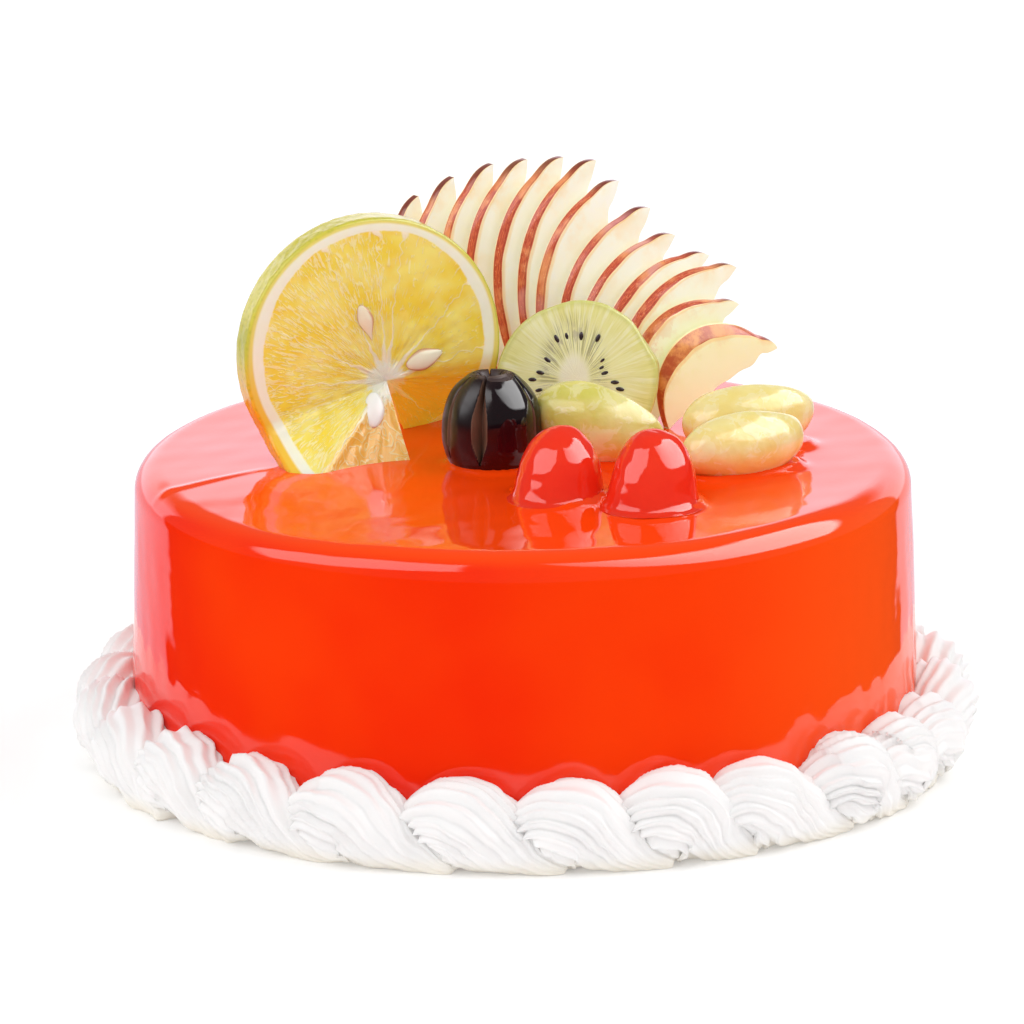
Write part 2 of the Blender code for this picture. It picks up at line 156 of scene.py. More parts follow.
# Green grapes: centre, half length, radius (mm), yaw, tilt (degrees), greenness
GREEN_GRAPES = {
    "green_grape_middle": ((20.0, -4.5, 88.3), 17.8, 11.2, -10, 14, 1.0),
    "green_grape_right": ((56.6, -18.4, 86.2), 17.8, 9.2, 31, -3, 0.0),
    "green_grape_back": ((58.7, 5.0, 87.2), 17.8, 9.8, 17, -5, 0.0),
}
GRAPE_CUT_NORMAL = (0.20, 0.78, 0.60)
GRAPE_CUT_OFFSET = 4.5 * MM
GRAPE_GRID = (64, 96)        # rings and the points in each

# Dark grape
DARK_GRAPE_PLACE = (-8.0 * MM, -9.0 * MM)
DARK_GRAPE_FOOT = TOP + 0.3 * MM
DARK_GRAPE_RADIUS = 12.8 * MM
DARK_GRAPE_HEIGHT = 24.0 * MM
DARK_GRAPE_PROFILE = (    # shares of the radius and the height, from the foot to the pit
    (0.80, 0.0), (0.87, 0.05), (0.94, 0.14), (0.99, 0.26), (1.0, 0.40), (0.985, 0.55),
    (0.91, 0.70), (0.77, 0.84), (0.57, 0.95), (0.42, 0.995), (0.30, 1.0), (0.20, 0.95),
    (0.12, 0.86), (0.05, 0.76), (0.0, 0.74),
)
DARK_GRAPE_SLITS = (      # degrees round, half width in degrees, depth as a share of the radius
    (-105, 10.5, 0.34), (-22, 3.2, 0.16), (35, 5, 0.2), (95, 6, 0.24), (155, 5, 0.2),
    (207, 5, 0.14),
)
DARK_GRAPE_CAP = (0.975, 0.995)    # height at which the skin ends, in front and behind
DARK_GRAPE_GRID = (88, 300)

# Cherries: place, radius, height (mm)
CHERRIES = {
    "cherry_left": ((9.7, -40.3), 10.5, 17.7),
    "cherry_right": ((33.3, -49.2), 10.7, 19.2),
}
CHERRY_FOOT = TOP + 0.1 * MM
CHERRY_GRID = (68, 112)
CHERRY_PROFILE = (        # shares of the radius and the height, from the top to the glaze
    (0, 1.0), (0.25, 0.98), (0.50, 0.91), (0.72, 0.78), (0.88, 0.61), (0.96, 0.45),
    (1.0, 0.30), (1.03, 0.17), (1.06, 0.085), (1.13, 0.03), (1.24, 0.0),
)
CHERRY_SAGS = (           # where glaze hangs on it: degrees round, width, top, power, mm
    (-125, 50, 0.74, 1.2, 3.2),
    (-50, 28, 0.30, 2.0, 1.2),
)

# The studio's sky, in degrees: azimuths from the front to the right, then elevations
WINDOW_LEFT = ((-102, 38), (-76, 9), (-56, 20), (-33, 32), (-20, 37), (-27, 66), (-60, 60),
               (-90, 49))
WINDOW_RIGHT = ((8, 76), (17, 62), (34, 43), (56, 28), (104, 15), (122, 30), (139, 46),
                (130, 58), (108, 63), (46, 70))
WINDOWS = (                  # level in gloss, as a lamp, azimuths between which it brightens
    (WINDOW_LEFT, 3.4, 2.0, None),
    (WINDOW_RIGHT, 7.0, 2.0, (8, 78)),
)
WINDOW_DIM_END = 0.22        # of the full level, where a window brightens
DOME_LEVEL = 0.80            # of the whole sky as a lamp
DOME_GLOSS = 0.18            # and in reflections
BACK_LEVEL = 1.70            # bright wall behind the cake, in reflections
BACK_TINT = (0.84, 0.80, 0.93)
BACK_SPAN = (-130, 142)      # its azimuths, through 180
BACK_FADE = (19, 27)         # elevations between which it fades out
SIDE_LEVEL = 0.98            # the same wall below the horizon
SIDE_SPAN = (-129, 144)
BELOW_LEVEL = 0.03
TURNTABLE_RADIUS = 187 * MM
TURNTABLE_LEVEL = 0.2 * MM
FLOOR_HALF = 6.0
FLOOR_GLOW = 0.12


# ---------------------------------------------------------------- shapes

def ease(value):
    value = np.clip(value, 0.0, 1.0)
    return value * value * (3 - 2 * value)


def mix(first, second, share):
    return first + (second - first) * share


def unit(vectors):
    return vectors / np.linalg.norm(vectors, axis=-1, keepdims=True)


def stacked(*parts):
    """Arrays of coordinates, broadcast and joined into points."""
    return np.stack(np.broadcast_arrays(*parts), axis=-1)


def ring(radius, turn, height):
    """Points round the cake's axis, at angles from the front."""
    return stacked(radius * np.sin(turn), -radius * np.cos(turn), height)


def circle(count):
    return np.linspace(0, FULL_TURN, count, endpoint=False)


def angle_between(first, second):
    return np.abs((first - second + math.pi) % FULL_TURN - math.pi)


def facing(yaw):
    """Directions to the right of and out of a face that is turned from the front by yaw."""
    return (np.array([math.cos(yaw), math.sin(yaw), 0.0]),
            np.array([math.sin(yaw), -math.cos(yaw), 0.0]))


def settled(points, level):
    """The points, with those below the level lifted to it."""
    points[..., 2] = np.maximum(points[..., 2], level)
    return points


def ripple(points, wavelength, seed, waves=14):
    """Smooth seeded unevenness from -1 to 1 or so: a sum of plane waves."""
    rng = np.random.default_rng(seed)
    directions = unit(rng.normal(size=(waves, 3)))
    rates = FULL_TURN / (wavelength * rng.uniform(0.6, 1.5, waves))
    phases = rng.uniform(0, FULL_TURN, waves)
    waves_at = np.sin(points @ (directions * rates[:, None]).T + phases)
    return waves_at.sum(axis=-1) / math.sqrt(waves)


def smooth_path(points, count):
    """Catmull-Rom curve through points of any number of values, evenly sampled."""
    points = np.asarray(points, float)
    padded = np.vstack([2 * points[0] - points[1], points, 2 * points[-1] - points[-2]])
    spots = np.linspace(0, len(points) - 1, count)
    index = np.minimum(spots.astype(int), len(points) - 2)
    t = (spots - index)[:, None]
    a, b, c, d = (padded[index + i] for i in range(4))
    return 0.5 * (2 * b + (c - a) * t + (2 * a - 5 * b + 4 * c - d) * t ** 2
                  + (3 * b - a - 3 * c + d) * t ** 3)


def add_object(name, data):
    obj = bpy.data.objects.new(name, data)
    bpy.context.scene.collection.objects.link(obj)
    return obj


def add_shape(name, shape, material):
    """An object of a bmesh, which is freed."""
    mesh = bpy.data.meshes.new(name)
    shape.to_mesh(mesh)
    shape.free()
    mesh.materials.append(material)
    return add_object(name, mesh)


def grid_mesh(name, points, material, attributes=None, angle=None, filled=False):
    """An object of a grid of points, whose columns wrap round.

    Edges sharper than the angle are creased, and filled closes the open ends. An attribute is
    a number, or an array of numbers or vectors that fits the grid.
    """
    here = np.arange(points[..., 0].size).reshape(points.shape[:2])
    beside = np.roll(here, -1, axis=1)
    quads = np.stack([here[:-1], here[1:], beside[1:], beside[:-1]], axis=-1)
    mesh = bpy.data.meshes.new(name)
    mesh.from_pydata(points.reshape(-1, 3).tolist(), [], quads.reshape(-1, 4).tolist())
    for key, values in (attributes or {}).items():
        values = np.asarray(values, np.float32)
        if values.ndim == 3:
            layer = mesh.attributes.new(key, "FLOAT_VECTOR", "POINT")
            layer.data.foreach_set("vector", values.ravel())
        else:
            layer = mesh.attributes.new(key, "FLOAT", "POINT")
            layer.data.foreach_set("value", np.broadcast_to(values, here.shape).ravel())
    shape = bmesh.new()
    shape.from_mesh(mesh)
    bmesh.ops.remove_doubles(shape, verts=shape.verts, dist=0.01 * MM)
    if filled:
        bmesh.ops.holes_fill(shape, edges=[edge for edge in shape.edges if edge.is_boundary])
    bmesh.ops.recalc_face_normals(shape, faces=shape.faces)
    shape.to_mesh(mesh)
    shape.free()
    mesh.shade_smooth()
    if angle:
        mesh.set_sharp_from_angle(angle=angle)
    mesh.materials.append(material)
    return add_object(name, mesh)


def dress(piece, slot, *nodes):
    """The piece rides on the body and stands for these nodes."""
    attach(piece, "root")
    if nodes:
        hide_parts(*nodes)


# ---------------------------------------------------------------- node trees

class Value:
    """A node's output. Arithmetic with it adds math nodes to its graph."""

    def __init__(self, graph, socket):
        self.graph = graph
        self.socket = socket

    def __add__(self, other):
        return self.graph.math("ADD", self, other)

    def __sub__(self, other):
        return self.graph.math("SUBTRACT", self, other)

    def __rsub__(self, other):
        return self.graph.math("SUBTRACT", other, self)

    def __mul__(self, other):
        return self.graph.math("MULTIPLY", self, other)

    def __truediv__(self, other):
        return self.graph.math("DIVIDE", self, other)

    def __pow__(self, other):
        return self.graph.math("POWER", self, other)

    def __abs__(self):
        return self.graph.math("ABSOLUTE", self)

    def most(self, other):
        return self.graph.math("MAXIMUM", self, other)

    def fade(self, low, high, out_low=0.0, out_high=1.0):
        """Runs smoothly from one number to another as this one goes from low to high."""
        inputs = dict(enumerate((self, low, high, out_low, out_high)))
        return self.graph.node("ShaderNodeMapRange", inputs, interpolation_type="SMOOTHSTEP")

    def contours(self, count):
        """0.5 at so many evenly spaced levels of this number, and 0 half way between them."""
        return abs(self.graph.math("FRACT", self * count) - 0.5)

    def stretched(self, *scale):
        inputs = {0: self, 1: scale}
        return self.graph.node("ShaderNodeVectorMath", inputs, operation="MULTIPLY")

    def tinted(self, share, *colour):
        """This colour under a share of an 8-bit one."""
        return self.graph.blend(share, self, srgb(*colour))


class Graph:
    """A node tree, with a method for each kind of node used here."""

    def __init__(self, tree):
        self.tree = tree

    def put(self, socket, value):
        if isinstance(value, Value):
            self.tree.links.new(value.socket, socket)
        elif socket.type == "RGBA":
            socket.default_value = (*value, 1.0)
        else:
            socket.default_value = value

    def node(self, kind, inputs, output=0, **settings):
        """An output of a new node whose sockets, by name or place, get the inputs."""
        made = self.tree.nodes.new(kind)
        for key, value in settings.items():
            setattr(made, key, value)
        for key, value in inputs.items():
            self.put(made.inputs[key], value)
        return Value(self, made.outputs[output])

    def math(self, operation, *values, clamp=False):
        return self.node("ShaderNodeMath", dict(enumerate(values)), operation=operation,
                         use_clamp=clamp)

    def split(self, vector):
        made = self.tree.nodes.new("ShaderNodeSeparateXYZ")
        self.put(made.inputs[0], vector)
        return [Value(self, socket) for socket in made.outputs]


class Paint(Graph):
    """A material and the nodes in front of its shader."""

    def __init__(self, name):
        self.material = bpy.data.materials.new(name)
        self.material.use_nodes = True
        super().__init__(self.material.node_tree)
        self.position = self.node("ShaderNodeNewGeometry", {}, "Position")

    def attribute(self, name, output="Fac"):
        return self.node("ShaderNodeAttribute", {}, output, attribute_name=name)

    def shift(self, vector, value, x, y):
        """The vector, moved by the value times x and y."""
        move = self.node("ShaderNodeCombineXYZ", {"X": value * x, "Y": value * y})
        return self.node("ShaderNodeVectorMath", {0: vector, 1: move}, operation="ADD")

    def noise(self, scale, detail=2.0, roughness=0.5, distortion=0.0, at=None):
        return self.node("ShaderNodeTexNoise", {
            "Vector": at or self.position, "Scale": scale, "Detail": detail,
            "Roughness": roughness, "Distortion": distortion})

    def cells(self, scale, feature="F1", randomness=1.0, at=None):
        inputs = {"Vector": at or self.position, "Scale": scale, "Randomness": randomness}
        return self.node("ShaderNodeTexVoronoi", inputs, "Distance", feature=feature)

    def blend(self, share, first, second):
        return self.node("ShaderNodeMix", {0: share, 6: first, 7: second}, 2, data_type="RGBA")

    def bump(self, height, distance, strength=1.0, normal=None):
        inputs = {"Strength": strength, "Distance": distance, "Height": height}
        if normal:
            inputs["Normal"] = normal
        return self.node("ShaderNodeBump", inputs)

    def finish(self, **inputs):
        """Sets the shader's inputs, named with _ for a space, and gives the material."""
        shader = self.tree.nodes["Principled BSDF"]
        for key, value in inputs.items():
            self.put(shader.inputs[key.replace("_", " ")], value)
        return self.material


def srgb(red, green, blue):
    """Linear colour of an 8-bit one."""
    return tuple(
        c / 12.92 if c <= 0.04045 else ((c + 0.055) / 1.055) ** 2.4
        for c in (red / 255, green / 255, blue / 255)
    )


# ---------------------------------------------------------------- materials

def glaze_material():
    paint = Paint("glaze")
    x, _, z = paint.split(paint.position)
    colour = paint.blend(paint.noise(13.0, 3.0).fade(0.3, 0.7),
                         (0.92, 0.019, 0.0008), (0.98, 0.045, 0.0012))
    right = x.fade(34 * MM, 104 * MM)
    colour = paint.blend(right, colour, (0.98, 0.090, 0.006))
    level = z.fade(TOP - 4 * MM, TOP - 0.6 * MM)
    colour = paint.blend(level, colour, (0.98, 0.062, 0.002))
    normal = paint.bump(paint.noise(90.0), 0.05 * MM, 0.5)
    normal = paint.bump(paint.noise(300.0), 0.008 * MM, 0.5, normal)
    sags = paint.noise(90.0, 1.0, at=paint.position.stretched(1.0, 1.0, 2.2))
    sags = sags * z.fade(TOP - 9 * MM, TOP - 18 * MM) * z.fade(22 * MM, 40 * MM)
    return paint.finish(Base_Color=colour, Roughness=0.045, IOR=1.50,
                        Normal=paint.bump(sags, 0.11 * MM, 1.0, normal))


def cream_material():
    paint = Paint("cream")
    z = paint.split(paint.position)[2]
    colour = paint.blend(paint.noise(60.0), srgb(244, 243, 242), srgb(238, 237, 237))
    warm = z.fade(6 * MM, 0.0, 0.0, 0.55)
    return paint.finish(
        Base_Color=colour.tinted(warm, 240, 228, 205), Roughness=0.42, IOR=1.40,
        # painted light: a faint white glow that lifts the cream's shade
        Emission_Color=(1.0, 1.0, 0.98), Emission_Strength=0.05, Subsurface_Weight=0.12,
        Subsurface_Radius=(1.0, 0.9, 0.85), Subsurface_Scale=1.2 * MM,
        Normal=paint.bump(paint.noise(900.0), 0.04 * MM, 0.6))


def juice_sacs(paint, polar, tan):
    """Walls of the sacs: pale broken lines, long towards the rim, swirling on the flap; and
    painted highlights on the sacs as pale flecks.
    """
    streaky = paint.attribute("streaky")
    warp = paint.noise(1.0, at=polar.stretched(9.0, 0.35, 0.0))
    bent = paint.shift(polar.stretched(17.0, 0.11, 0.0), warp, 0.9, -0.54)
    walls = paint.cells(1.0, "DISTANCE_TO_EDGE", 0.9, at=bent).fade(0.085, 0.015)
    broken = paint.noise(1.0, 2.0, 0.6, at=polar.stretched(22.0, 0.5, 0.0))
    walls = walls * (broken + streaky * 0.11).fade(0.55, 0.68)
    # painted highlights: pale flecks where the juice sacs glint
    glint_flecks = paint.noise(1.0, 2.0, 0.5, 0.4, at=polar.stretched(52.0, 0.27, 0.0))
    glint_flecks = (glint_flecks + streaky * 0.08).fade(0.61, 0.69)
    curls = paint.noise(230.0, 1.0, 0.5, 0.6).contours(7.0)
    swirls = curls.fade(0.20, 0.06) * tan
    return (walls.most(glint_flecks) * (1.0 - tan)).most(swirls)


def membrane_lines(paint, polar):
    """The walls between the segments, thick at the core and at the rim."""
    turn, reach, radial = paint.split(polar)
    width = reach.fade(4.0, 13.0, 1.15, 0.24) + radial.fade(0.83, 0.90, 0.0, 1.3)
    wobble = paint.noise(1.0, 1.0, at=polar.stretched(1.5, 0.30, 0.0))
    turn = turn + (wobble - 0.5) * 0.16
    return reduce(Value.most, [
        (abs(turn - degrees * DEG) * reach / width).fade(1.0, 0.35)
        for degrees in MEMBRANES])


def citrus_material():
    """Reads turn (radians) and reach (millimetres) from the core, and distance from the rim."""
    paint = Paint("citrus")
    polar = paint.attribute("polar", "Vector")
    _, reach, radial = paint.split(polar)
    z = paint.split(paint.position)[2]
    tan, painted_backlight, pith = (paint.attribute(name) for name in ("tan", "painted_backlight", "pith"))
    spread = paint.noise(1.0, at=polar.stretched(3.0, 0.12, 0.0))
    pulp = paint.blend(spread.fade(0.35, 0.65), srgb(247, 222, 74), srgb(252, 236, 124))
    pulp = pulp.tinted(tan, 240, 178, 66)
    # painted light: the rear flap is tinted golden orange as if lit through from behind
    pulp = pulp.tinted(painted_backlight, 236, 178, 36)
    pale = juice_sacs(paint, polar, tan)
    pulp = pulp.tinted(pale * 0.66, 255, 246, 192)
    membrane = membrane_lines(paint, polar)
    strength = reach.fade(7.0, 24.0, 0.95, 0.55).most(radial.fade(0.84, 0.88))
    pulp = pulp.tinted(membrane * strength, 254, 245, 214)

    # white core and pith
    fibre = paint.noise(1.0, 3.0, 0.6, at=polar.stretched(5.0, 0.5, 0.0))
    white = paint.blend(paint.noise(420.0, 3.0), srgb(243, 246, 218), srgb(248, 251, 234))
    pulp = paint.blend((reach + fibre * 6.5).fade(9.6, 6.8), pulp, white)
    ragged = paint.noise(1.0, at=polar.stretched(24.0, 0.3, 0.0))
    face = paint.blend((pith + ragged * 0.014).fade(0.0, 0.016), pulp, white)

    # yellow and green of the rind
    broad = z.fade(TOP + 45 * MM, TOP + 8 * MM, 0.0, 0.030)
    side = paint.noise(34.0, 3.0)
    ripe = (z + side * (22 * MM)).fade(92 * MM, 122 * MM)
    outer = paint.blend(ripe, srgb(246, 200, 62), srgb(232, 218, 116))
    face = paint.blend((radial + broad).fade(0.952, 0.974), face, outer)
    peel = paint.blend(ripe, srgb(250, 180, 24), srgb(210, 200, 74))
    green = side.fade(0.46, 0.64, 0.0, 0.65) * ripe
    peel = peel.tinted(green, 172, 178, 74)
    pores = paint.cells(750.0)
    peel = peel.tinted(pores.fade(0.1, 0.5, 0.30, 0.0), 150, 152, 40)

    relief = (pale + membrane * 0.8) * pith.fade(0.0, -0.02)
    normal = paint.bump(relief, 0.22 * MM, 0.6)
    peeled = pores * radial.fade(0.97, 0.99)
    return paint.finish(
        Base_Color=paint.blend(radial.fade(0.972, 0.992), face, peel), Roughness=0.25,
        IOR=1.42, Subsurface_Weight=0.30, Subsurface_Radius=(1.0, 0.75, 0.30),
        Subsurface_Scale=3 * MM, Coat_Weight=0.30, Coat_Roughness=0.12,
        # painted light: the rear flap glows golden, as if lit through from behind
        Emission_Color=srgb(184, 182, 40), Emission_Strength=painted_backlight * 0.42,
        Normal=paint.bump(peeled, 0.10 * MM, 0.4, normal))


def seed_material():
    """Pale seeds, with the brown line of the pocket round their edge."""
    paint = Paint("citrus seed")
    tint = paint.noise(260.0, at=paint.position.stretched(1.0, 1.0, 0.4))
    body = paint.blend(tint, srgb(246, 242, 220), srgb(240, 229, 196))
    white = body.tinted(paint.attribute("white"), 250, 253, 248)
    return paint.finish(
        Base_Color=white.tinted(paint.attribute("rim") * 0.85, 196, 128, 84),
        Roughness=0.22, IOR=1.45, Subsurface_Weight=0.25, Subsurface_Radius=(1.0, 0.8, 0.6),
        Subsurface_Scale=2 * MM)


def slice_material():
    """Pale flesh, with the skin where the attribute says so; worn slices have brown stains."""
    paint = Paint("red skin slice")
    place = paint.attribute("place", "Vector")     # shares along, across and through it
    along, _, through = paint.split(place)
    worn, stain = paint.attribute("worn"), paint.attribute("stain")
    grain = paint.noise(140.0, 3.0, 0.6)
    cloud = paint.noise(45.0, 3.0, 0.55)
    spots = paint.noise(150.0, 5.0, 0.7)
    patch = paint.noise(75.0, 3.0, 0.6)

    flesh = paint.blend(grain, srgb(248, 247, 236), srgb(244, 240, 216))
    # painted sheen: whitish patches on the flesh
    flesh = flesh.tinted(cloud.fade(0.50, 0.66, 0.0, 0.5), 248, 252, 246)
    flesh = flesh.tinted(worn ** 1.7 * 0.85, 241, 251, 200)
    edge = paint.attribute("near_skin").fade(0.25, 0.9, 0.0, 0.55)
    flesh = flesh.tinted(edge, 238, 190, 104)
    tips = paint.noise(60.0, 4.0, 0.65).fade(0.46, 0.62) * paint.attribute("tip")
    flesh = flesh.tinted(tips * 0.42, 240, 200, 124)
    stained = spots.fade(0.44, 0.56) * stain ** 1.2
    stained = stained * worn.fade(0.70, 0.95, 0.65, 0.20)
    flesh = flesh.tinted(stained, 214, 142, 66)

    streaks = paint.noise(5.0, 4.0, 0.65, at=place.stretched(7.0, 1.0, 2.2))
    red = paint.blend(streaks.fade(0.35, 0.65), srgb(176, 56, 42), srgb(216, 112, 72))
    red = red.tinted(patch.fade(0.50, 0.64, 0.0, 0.75), 234, 160, 104)
    # painted sheen: whitish-pink patches where the skin reflects the light
    painted_sheen = paint.noise(48.0, 2.0, 0.5, 0.8)
    red = red.tinted(painted_sheen.fade(0.54, 0.66, 0.0, 0.6), 212, 150, 152)
    specks = paint.cells(950.0)
    red = red.tinted(specks.fade(0.10, 0.26, 0.32, 0.0), 240, 196, 140)
    rim = abs(through - 0.5).fade(0.22, 0.38, 0.0, 0.85)
    red = red.tinted(rim, 128, 28, 26)
    brown = paint.blend(spots.fade(0.40, 0.62), srgb(178, 82, 34), srgb(220, 150, 74))
    red = paint.blend(stain.fade(0.30, 0.75, 0.0, 0.9), red, brown)
    point = along.fade(0.93, 0.985, 0.0, 0.85)
    red = red.tinted(point, 104, 44, 34)
    surface = paint.blend(paint.attribute("skin").fade(0.45, 0.55), flesh, red)
    return paint.finish(
        # painted light: the slices glow faintly in their own colour, lifting the shade between
        # them
        Base_Color=surface, Emission_Color=surface, Emission_Strength=0.13, Roughness=0.30,
        IOR=1.42, Subsurface_Weight=0.20, Subsurface_Radius=(1.0, 0.8, 0.55),
        Subsurface_Scale=3 * MM, Coat_Weight=0.35, Coat_Roughness=0.10,
        Normal=paint.bump(grain + patch * 3.0, 0.14 * MM, 0.55))


def green_slice_material():
    """Pale flesh with a tall cream core, and fine dark rays between it and the seeds."""
    paint = Paint("green slice")
    polar = paint.attribute("polar", "Vector")     # turn, share of the radius, face
    share = paint.split(polar)[1]
    level, upright, _ = paint.split(paint.attribute("local", "Vector"))
    level, upright = (level + 0.05) / DISC_CORE[0], upright / DISC_CORE[1]
    from_core = paint.math("SQRT", level * level + upright * upright)
    rays = paint.noise(1.0, 3.0, 0.6, at=polar.stretched(20.0, 1.6, 1.0))
    fine = paint.noise(1.0, 3.0, 0.65, at=polar.stretched(46.0, 1.2, 1.0))
    dusk = paint.noise(1.0, at=polar.stretched(9.0, 6.0, 1.0))
    cloud = paint.noise(90.0, 3.0, 0.6)
    flesh = paint.blend(share.fade(0.45, 1.0), srgb(238, 234, 172), srgb(232, 228, 148))
    flesh = flesh.tinted(rays.fade(0.46, 0.62, 0.0, 0.7), 246, 244, 206)
    flesh = flesh.tinted(rays.fade(0.44, 0.30, 0.0, 0.5), 206, 202, 112)
    flesh = flesh.tinted(cloud.fade(0.45, 0.7, 0.0, 0.3), 236, 232, 190)
    zone = from_core.fade(0.80, 1.25) * from_core.fade(2.7, 1.9)
    dark = zone * fine.fade(0.49, 0.60)
    flesh = flesh.tinted(dark * 0.62, 132, 120, 78)
    zone = from_core.fade(1.1, 1.5) * from_core.fade(2.2, 1.7)
    dusky = zone * dusk.fade(0.52, 0.66)
    flesh = flesh.tinted(dusky * 0.45, 150, 138, 138)
    core = (from_core + fine * 0.5).fade(1.45, 0.95)
    flesh = flesh.tinted(core, 244, 238, 214)
    rim = share.fade(0.90, 1.0, 0.0, 0.8)
    return paint.finish(
        Base_Color=flesh.tinted(rim, 198, 196, 104), Roughness=0.28, IOR=1.42,
        Subsurface_Weight=0.25, Subsurface_Radius=(0.9, 1.0, 0.5), Subsurface_Scale=3 * MM,
        Coat_Weight=0.25, Coat_Roughness=0.1,
        Normal=paint.bump(rays + cloud * 1.5, 0.2 * MM, 0.5))


def dark_seed_material():
    paint = Paint("dark seed")
    colour = paint.blend(paint.noise(500.0), srgb(30, 22, 28), srgb(66, 48, 52))
    return paint.finish(Base_Color=colour, Roughness=0.25, IOR=1.5)


def green_grape_material():
    """Peeled, translucent flesh with a painted whitish highlight patch, and a painted warm glow
    where it meets the glaze.
    """
    paint = Paint("green grape")
    z = paint.split(paint.position)[2]
    painted_highlight = paint.attribute("painted_highlight")
    cloud = paint.noise(70.0, 3.0, 0.6)
    soft = cloud.fade(0.35, 0.7)
    ripe = paint.blend(soft, srgb(240, 220, 132), srgb(248, 236, 180))
    green = paint.blend(soft, srgb(214, 206, 96), srgb(234, 226, 150))
    colour = paint.blend(paint.attribute("fresh"), ripe, green)
    # painted light: the flesh near the glaze is warmed as if by glow reflected from it
    low = z.fade(TOP + 9 * MM, TOP + 1 * MM)
    colour = colour.tinted(low * 0.85, 240, 190, 66)
    # painted highlight: whitish blotches, with more of the pale flakes and curls in the same place
    highlight_blotch = paint.noise(62.0, 4.0, 0.6, 0.5).fade(0.45, 0.52) * painted_highlight
    colour = colour.tinted(highlight_blotch * 0.8, 253, 247, 216)
    flakes = paint.noise(190.0, 3.0, 0.6, 0.8).fade(0.52, 0.57) * (painted_highlight * 0.6 + 0.25)
    colour = colour.tinted(flakes, 253, 248, 222)
    curls = paint.noise(110.0, 2.0, 0.5, 1.2).contours(6.0)
    curls = curls.fade(0.10, 0.0) * (painted_highlight * 0.35)
    colour = colour.tinted(curls, 252, 248, 220)
    relief = cloud * 4.0 + paint.noise(300.0, 3.0, 0.6) + paint.cells(240.0) * 0.6
    return paint.finish(
        Base_Color=colour.tinted(paint.attribute("rim") * 0.5, 250, 238, 190),
        Roughness=0.24, IOR=1.42, Subsurface_Weight=0.30, Subsurface_Radius=(1.0, 0.85, 0.30),
        Subsurface_Scale=4 * MM, Coat_Weight=0.60, Coat_Roughness=0.07,
        Normal=paint.bump(relief, 0.26 * MM, 0.8))


def dark_grape_material():
    """Dark skin with a duller left side, and brown flesh in the slits."""
    paint = Paint("dark grape")
    x, _, z = paint.split(paint.position)
    wine = z.fade(TOP + 15 * MM, TOP + 4 * MM)
    skin = paint.blend(wine, srgb(22, 11, 16), srgb(52, 3, 12))
    cloud = paint.noise(90.0, 3.0).fade(0.50, 0.8, 0.0, 0.6)
    skin = skin.tinted(cloud, 46, 28, 26)
    fibre = paint.noise(700.0, 3.0, at=paint.position.stretched(1.0, 1.0, 0.25))
    inside = paint.blend(fibre, srgb(84, 60, 48), srgb(118, 90, 70))
    # painted shade: the flesh in the pit at the top is darker than the same flesh in the slits
    inside = inside.tinted(paint.attribute("cap"), 58, 40, 38)
    flesh = paint.attribute("flesh").fade(0.35, 0.55)
    middle = DARK_GRAPE_PLACE[0]
    left = x.fade(middle + 2 * MM, middle - 3 * MM)
    bloom = paint.noise(150.0, 2.0, 0.5, 0.6).fade(0.54, 0.70, 0.045, 0.16)
    dull = (left * 0.26 + bloom).most(flesh * 0.5)
    return paint.finish(Base_Color=paint.blend(flesh, skin, inside), Roughness=dull, IOR=1.48,
                        Normal=paint.bump(paint.noise(320.0, 3.0), 0.05 * MM, 0.5))


def cherry_material():
    paint = Paint("cherry")
    colour = paint.blend(paint.noise(80.0), (0.84, 0.022, 0.007), (0.90, 0.045, 0.014))
    return paint.finish(
        Base_Color=colour, Roughness=0.03, IOR=1.52, Subsurface_Weight=0.12,
        Subsurface_Radius=(1.0, 0.15, 0.05), Subsurface_Scale=3 * MM,
        Normal=paint.bump(paint.noise(210.0), 0.05 * MM, 0.5))


def floor_material():
    paint = Paint("floor")
    colour = paint.blend(paint.noise(3.0), (0.94, 0.94, 0.94), (0.96, 0.96, 0.96))
    return paint.finish(Base_Color=colour, Roughness=0.6, Emission_Color=(1, 1, 1),
                        Emission_Strength=FLOOR_GLOW)


# ---------------------------------------------------------------- cake

def fruit_shore():
    """Where the glaze climbs up fruit: the ends and the radius of each contact patch."""
    patches = []
    for place, radius, _ in CHERRIES.values():
        place = np.array(place) * MM
        patches.append((place, place, radius * 1.16 * MM))
    grape = np.array(DARK_GRAPE_PLACE)
    patches.append((grape, grape, DARK_GRAPE_RADIUS * 0.86))
    for centre, half_length, radius, yaw, _, _ in GREEN_GRAPES.values():
        along = facing(yaw * DEG)[0][:2] * half_length * 0.55 * MM
        centre = np.array(centre[:2]) * MM
        patches.append((centre - along, centre + along, radius * 0.76 * MM))
    return patches


def distance_to(x, y, start, end):
    """From points to the line between two places, and how far along it they lie."""
    run = end - start
    length = max(run @ run, 1e-12)
    share = np.clip(((x - start[0]) * run[0] + (y - start[1]) * run[1]) / length, 0, 1)
    return np.hypot(x - start[0] - share * run[0], y - start[1] - share * run[1]), share


def glaze_height(x, y):
    """Height of the glaze's top surface: settled liquid, with a lip round the fruit."""
    points = stacked(x, y, 0.0)
    height = TOP + 0.16 * MM * ripple(points, 46 * MM, 3) + 0.05 * MM * ripple(points, 15 * MM, 4)
    dip = ease((-x - 26 * MM) / (44 * MM)) * ease((-y - 20 * MM) / (50 * MM))
    height = height - GLAZE_DIP * dip
    for start, end, radius in fruit_shore():
        away = distance_to(x, y, start, end)[0] - radius
        height = height + GLAZE_LIP * np.exp(-np.maximum(away, 0) / (1.0 * MM))
    away, share = distance_to(x, y, *np.array(GLAZE_SEAM))
    rise, width = GLAZE_SEAM_SIZE
    return height + rise * np.exp(-(away / width) ** 2) * (1 - share ** 3)


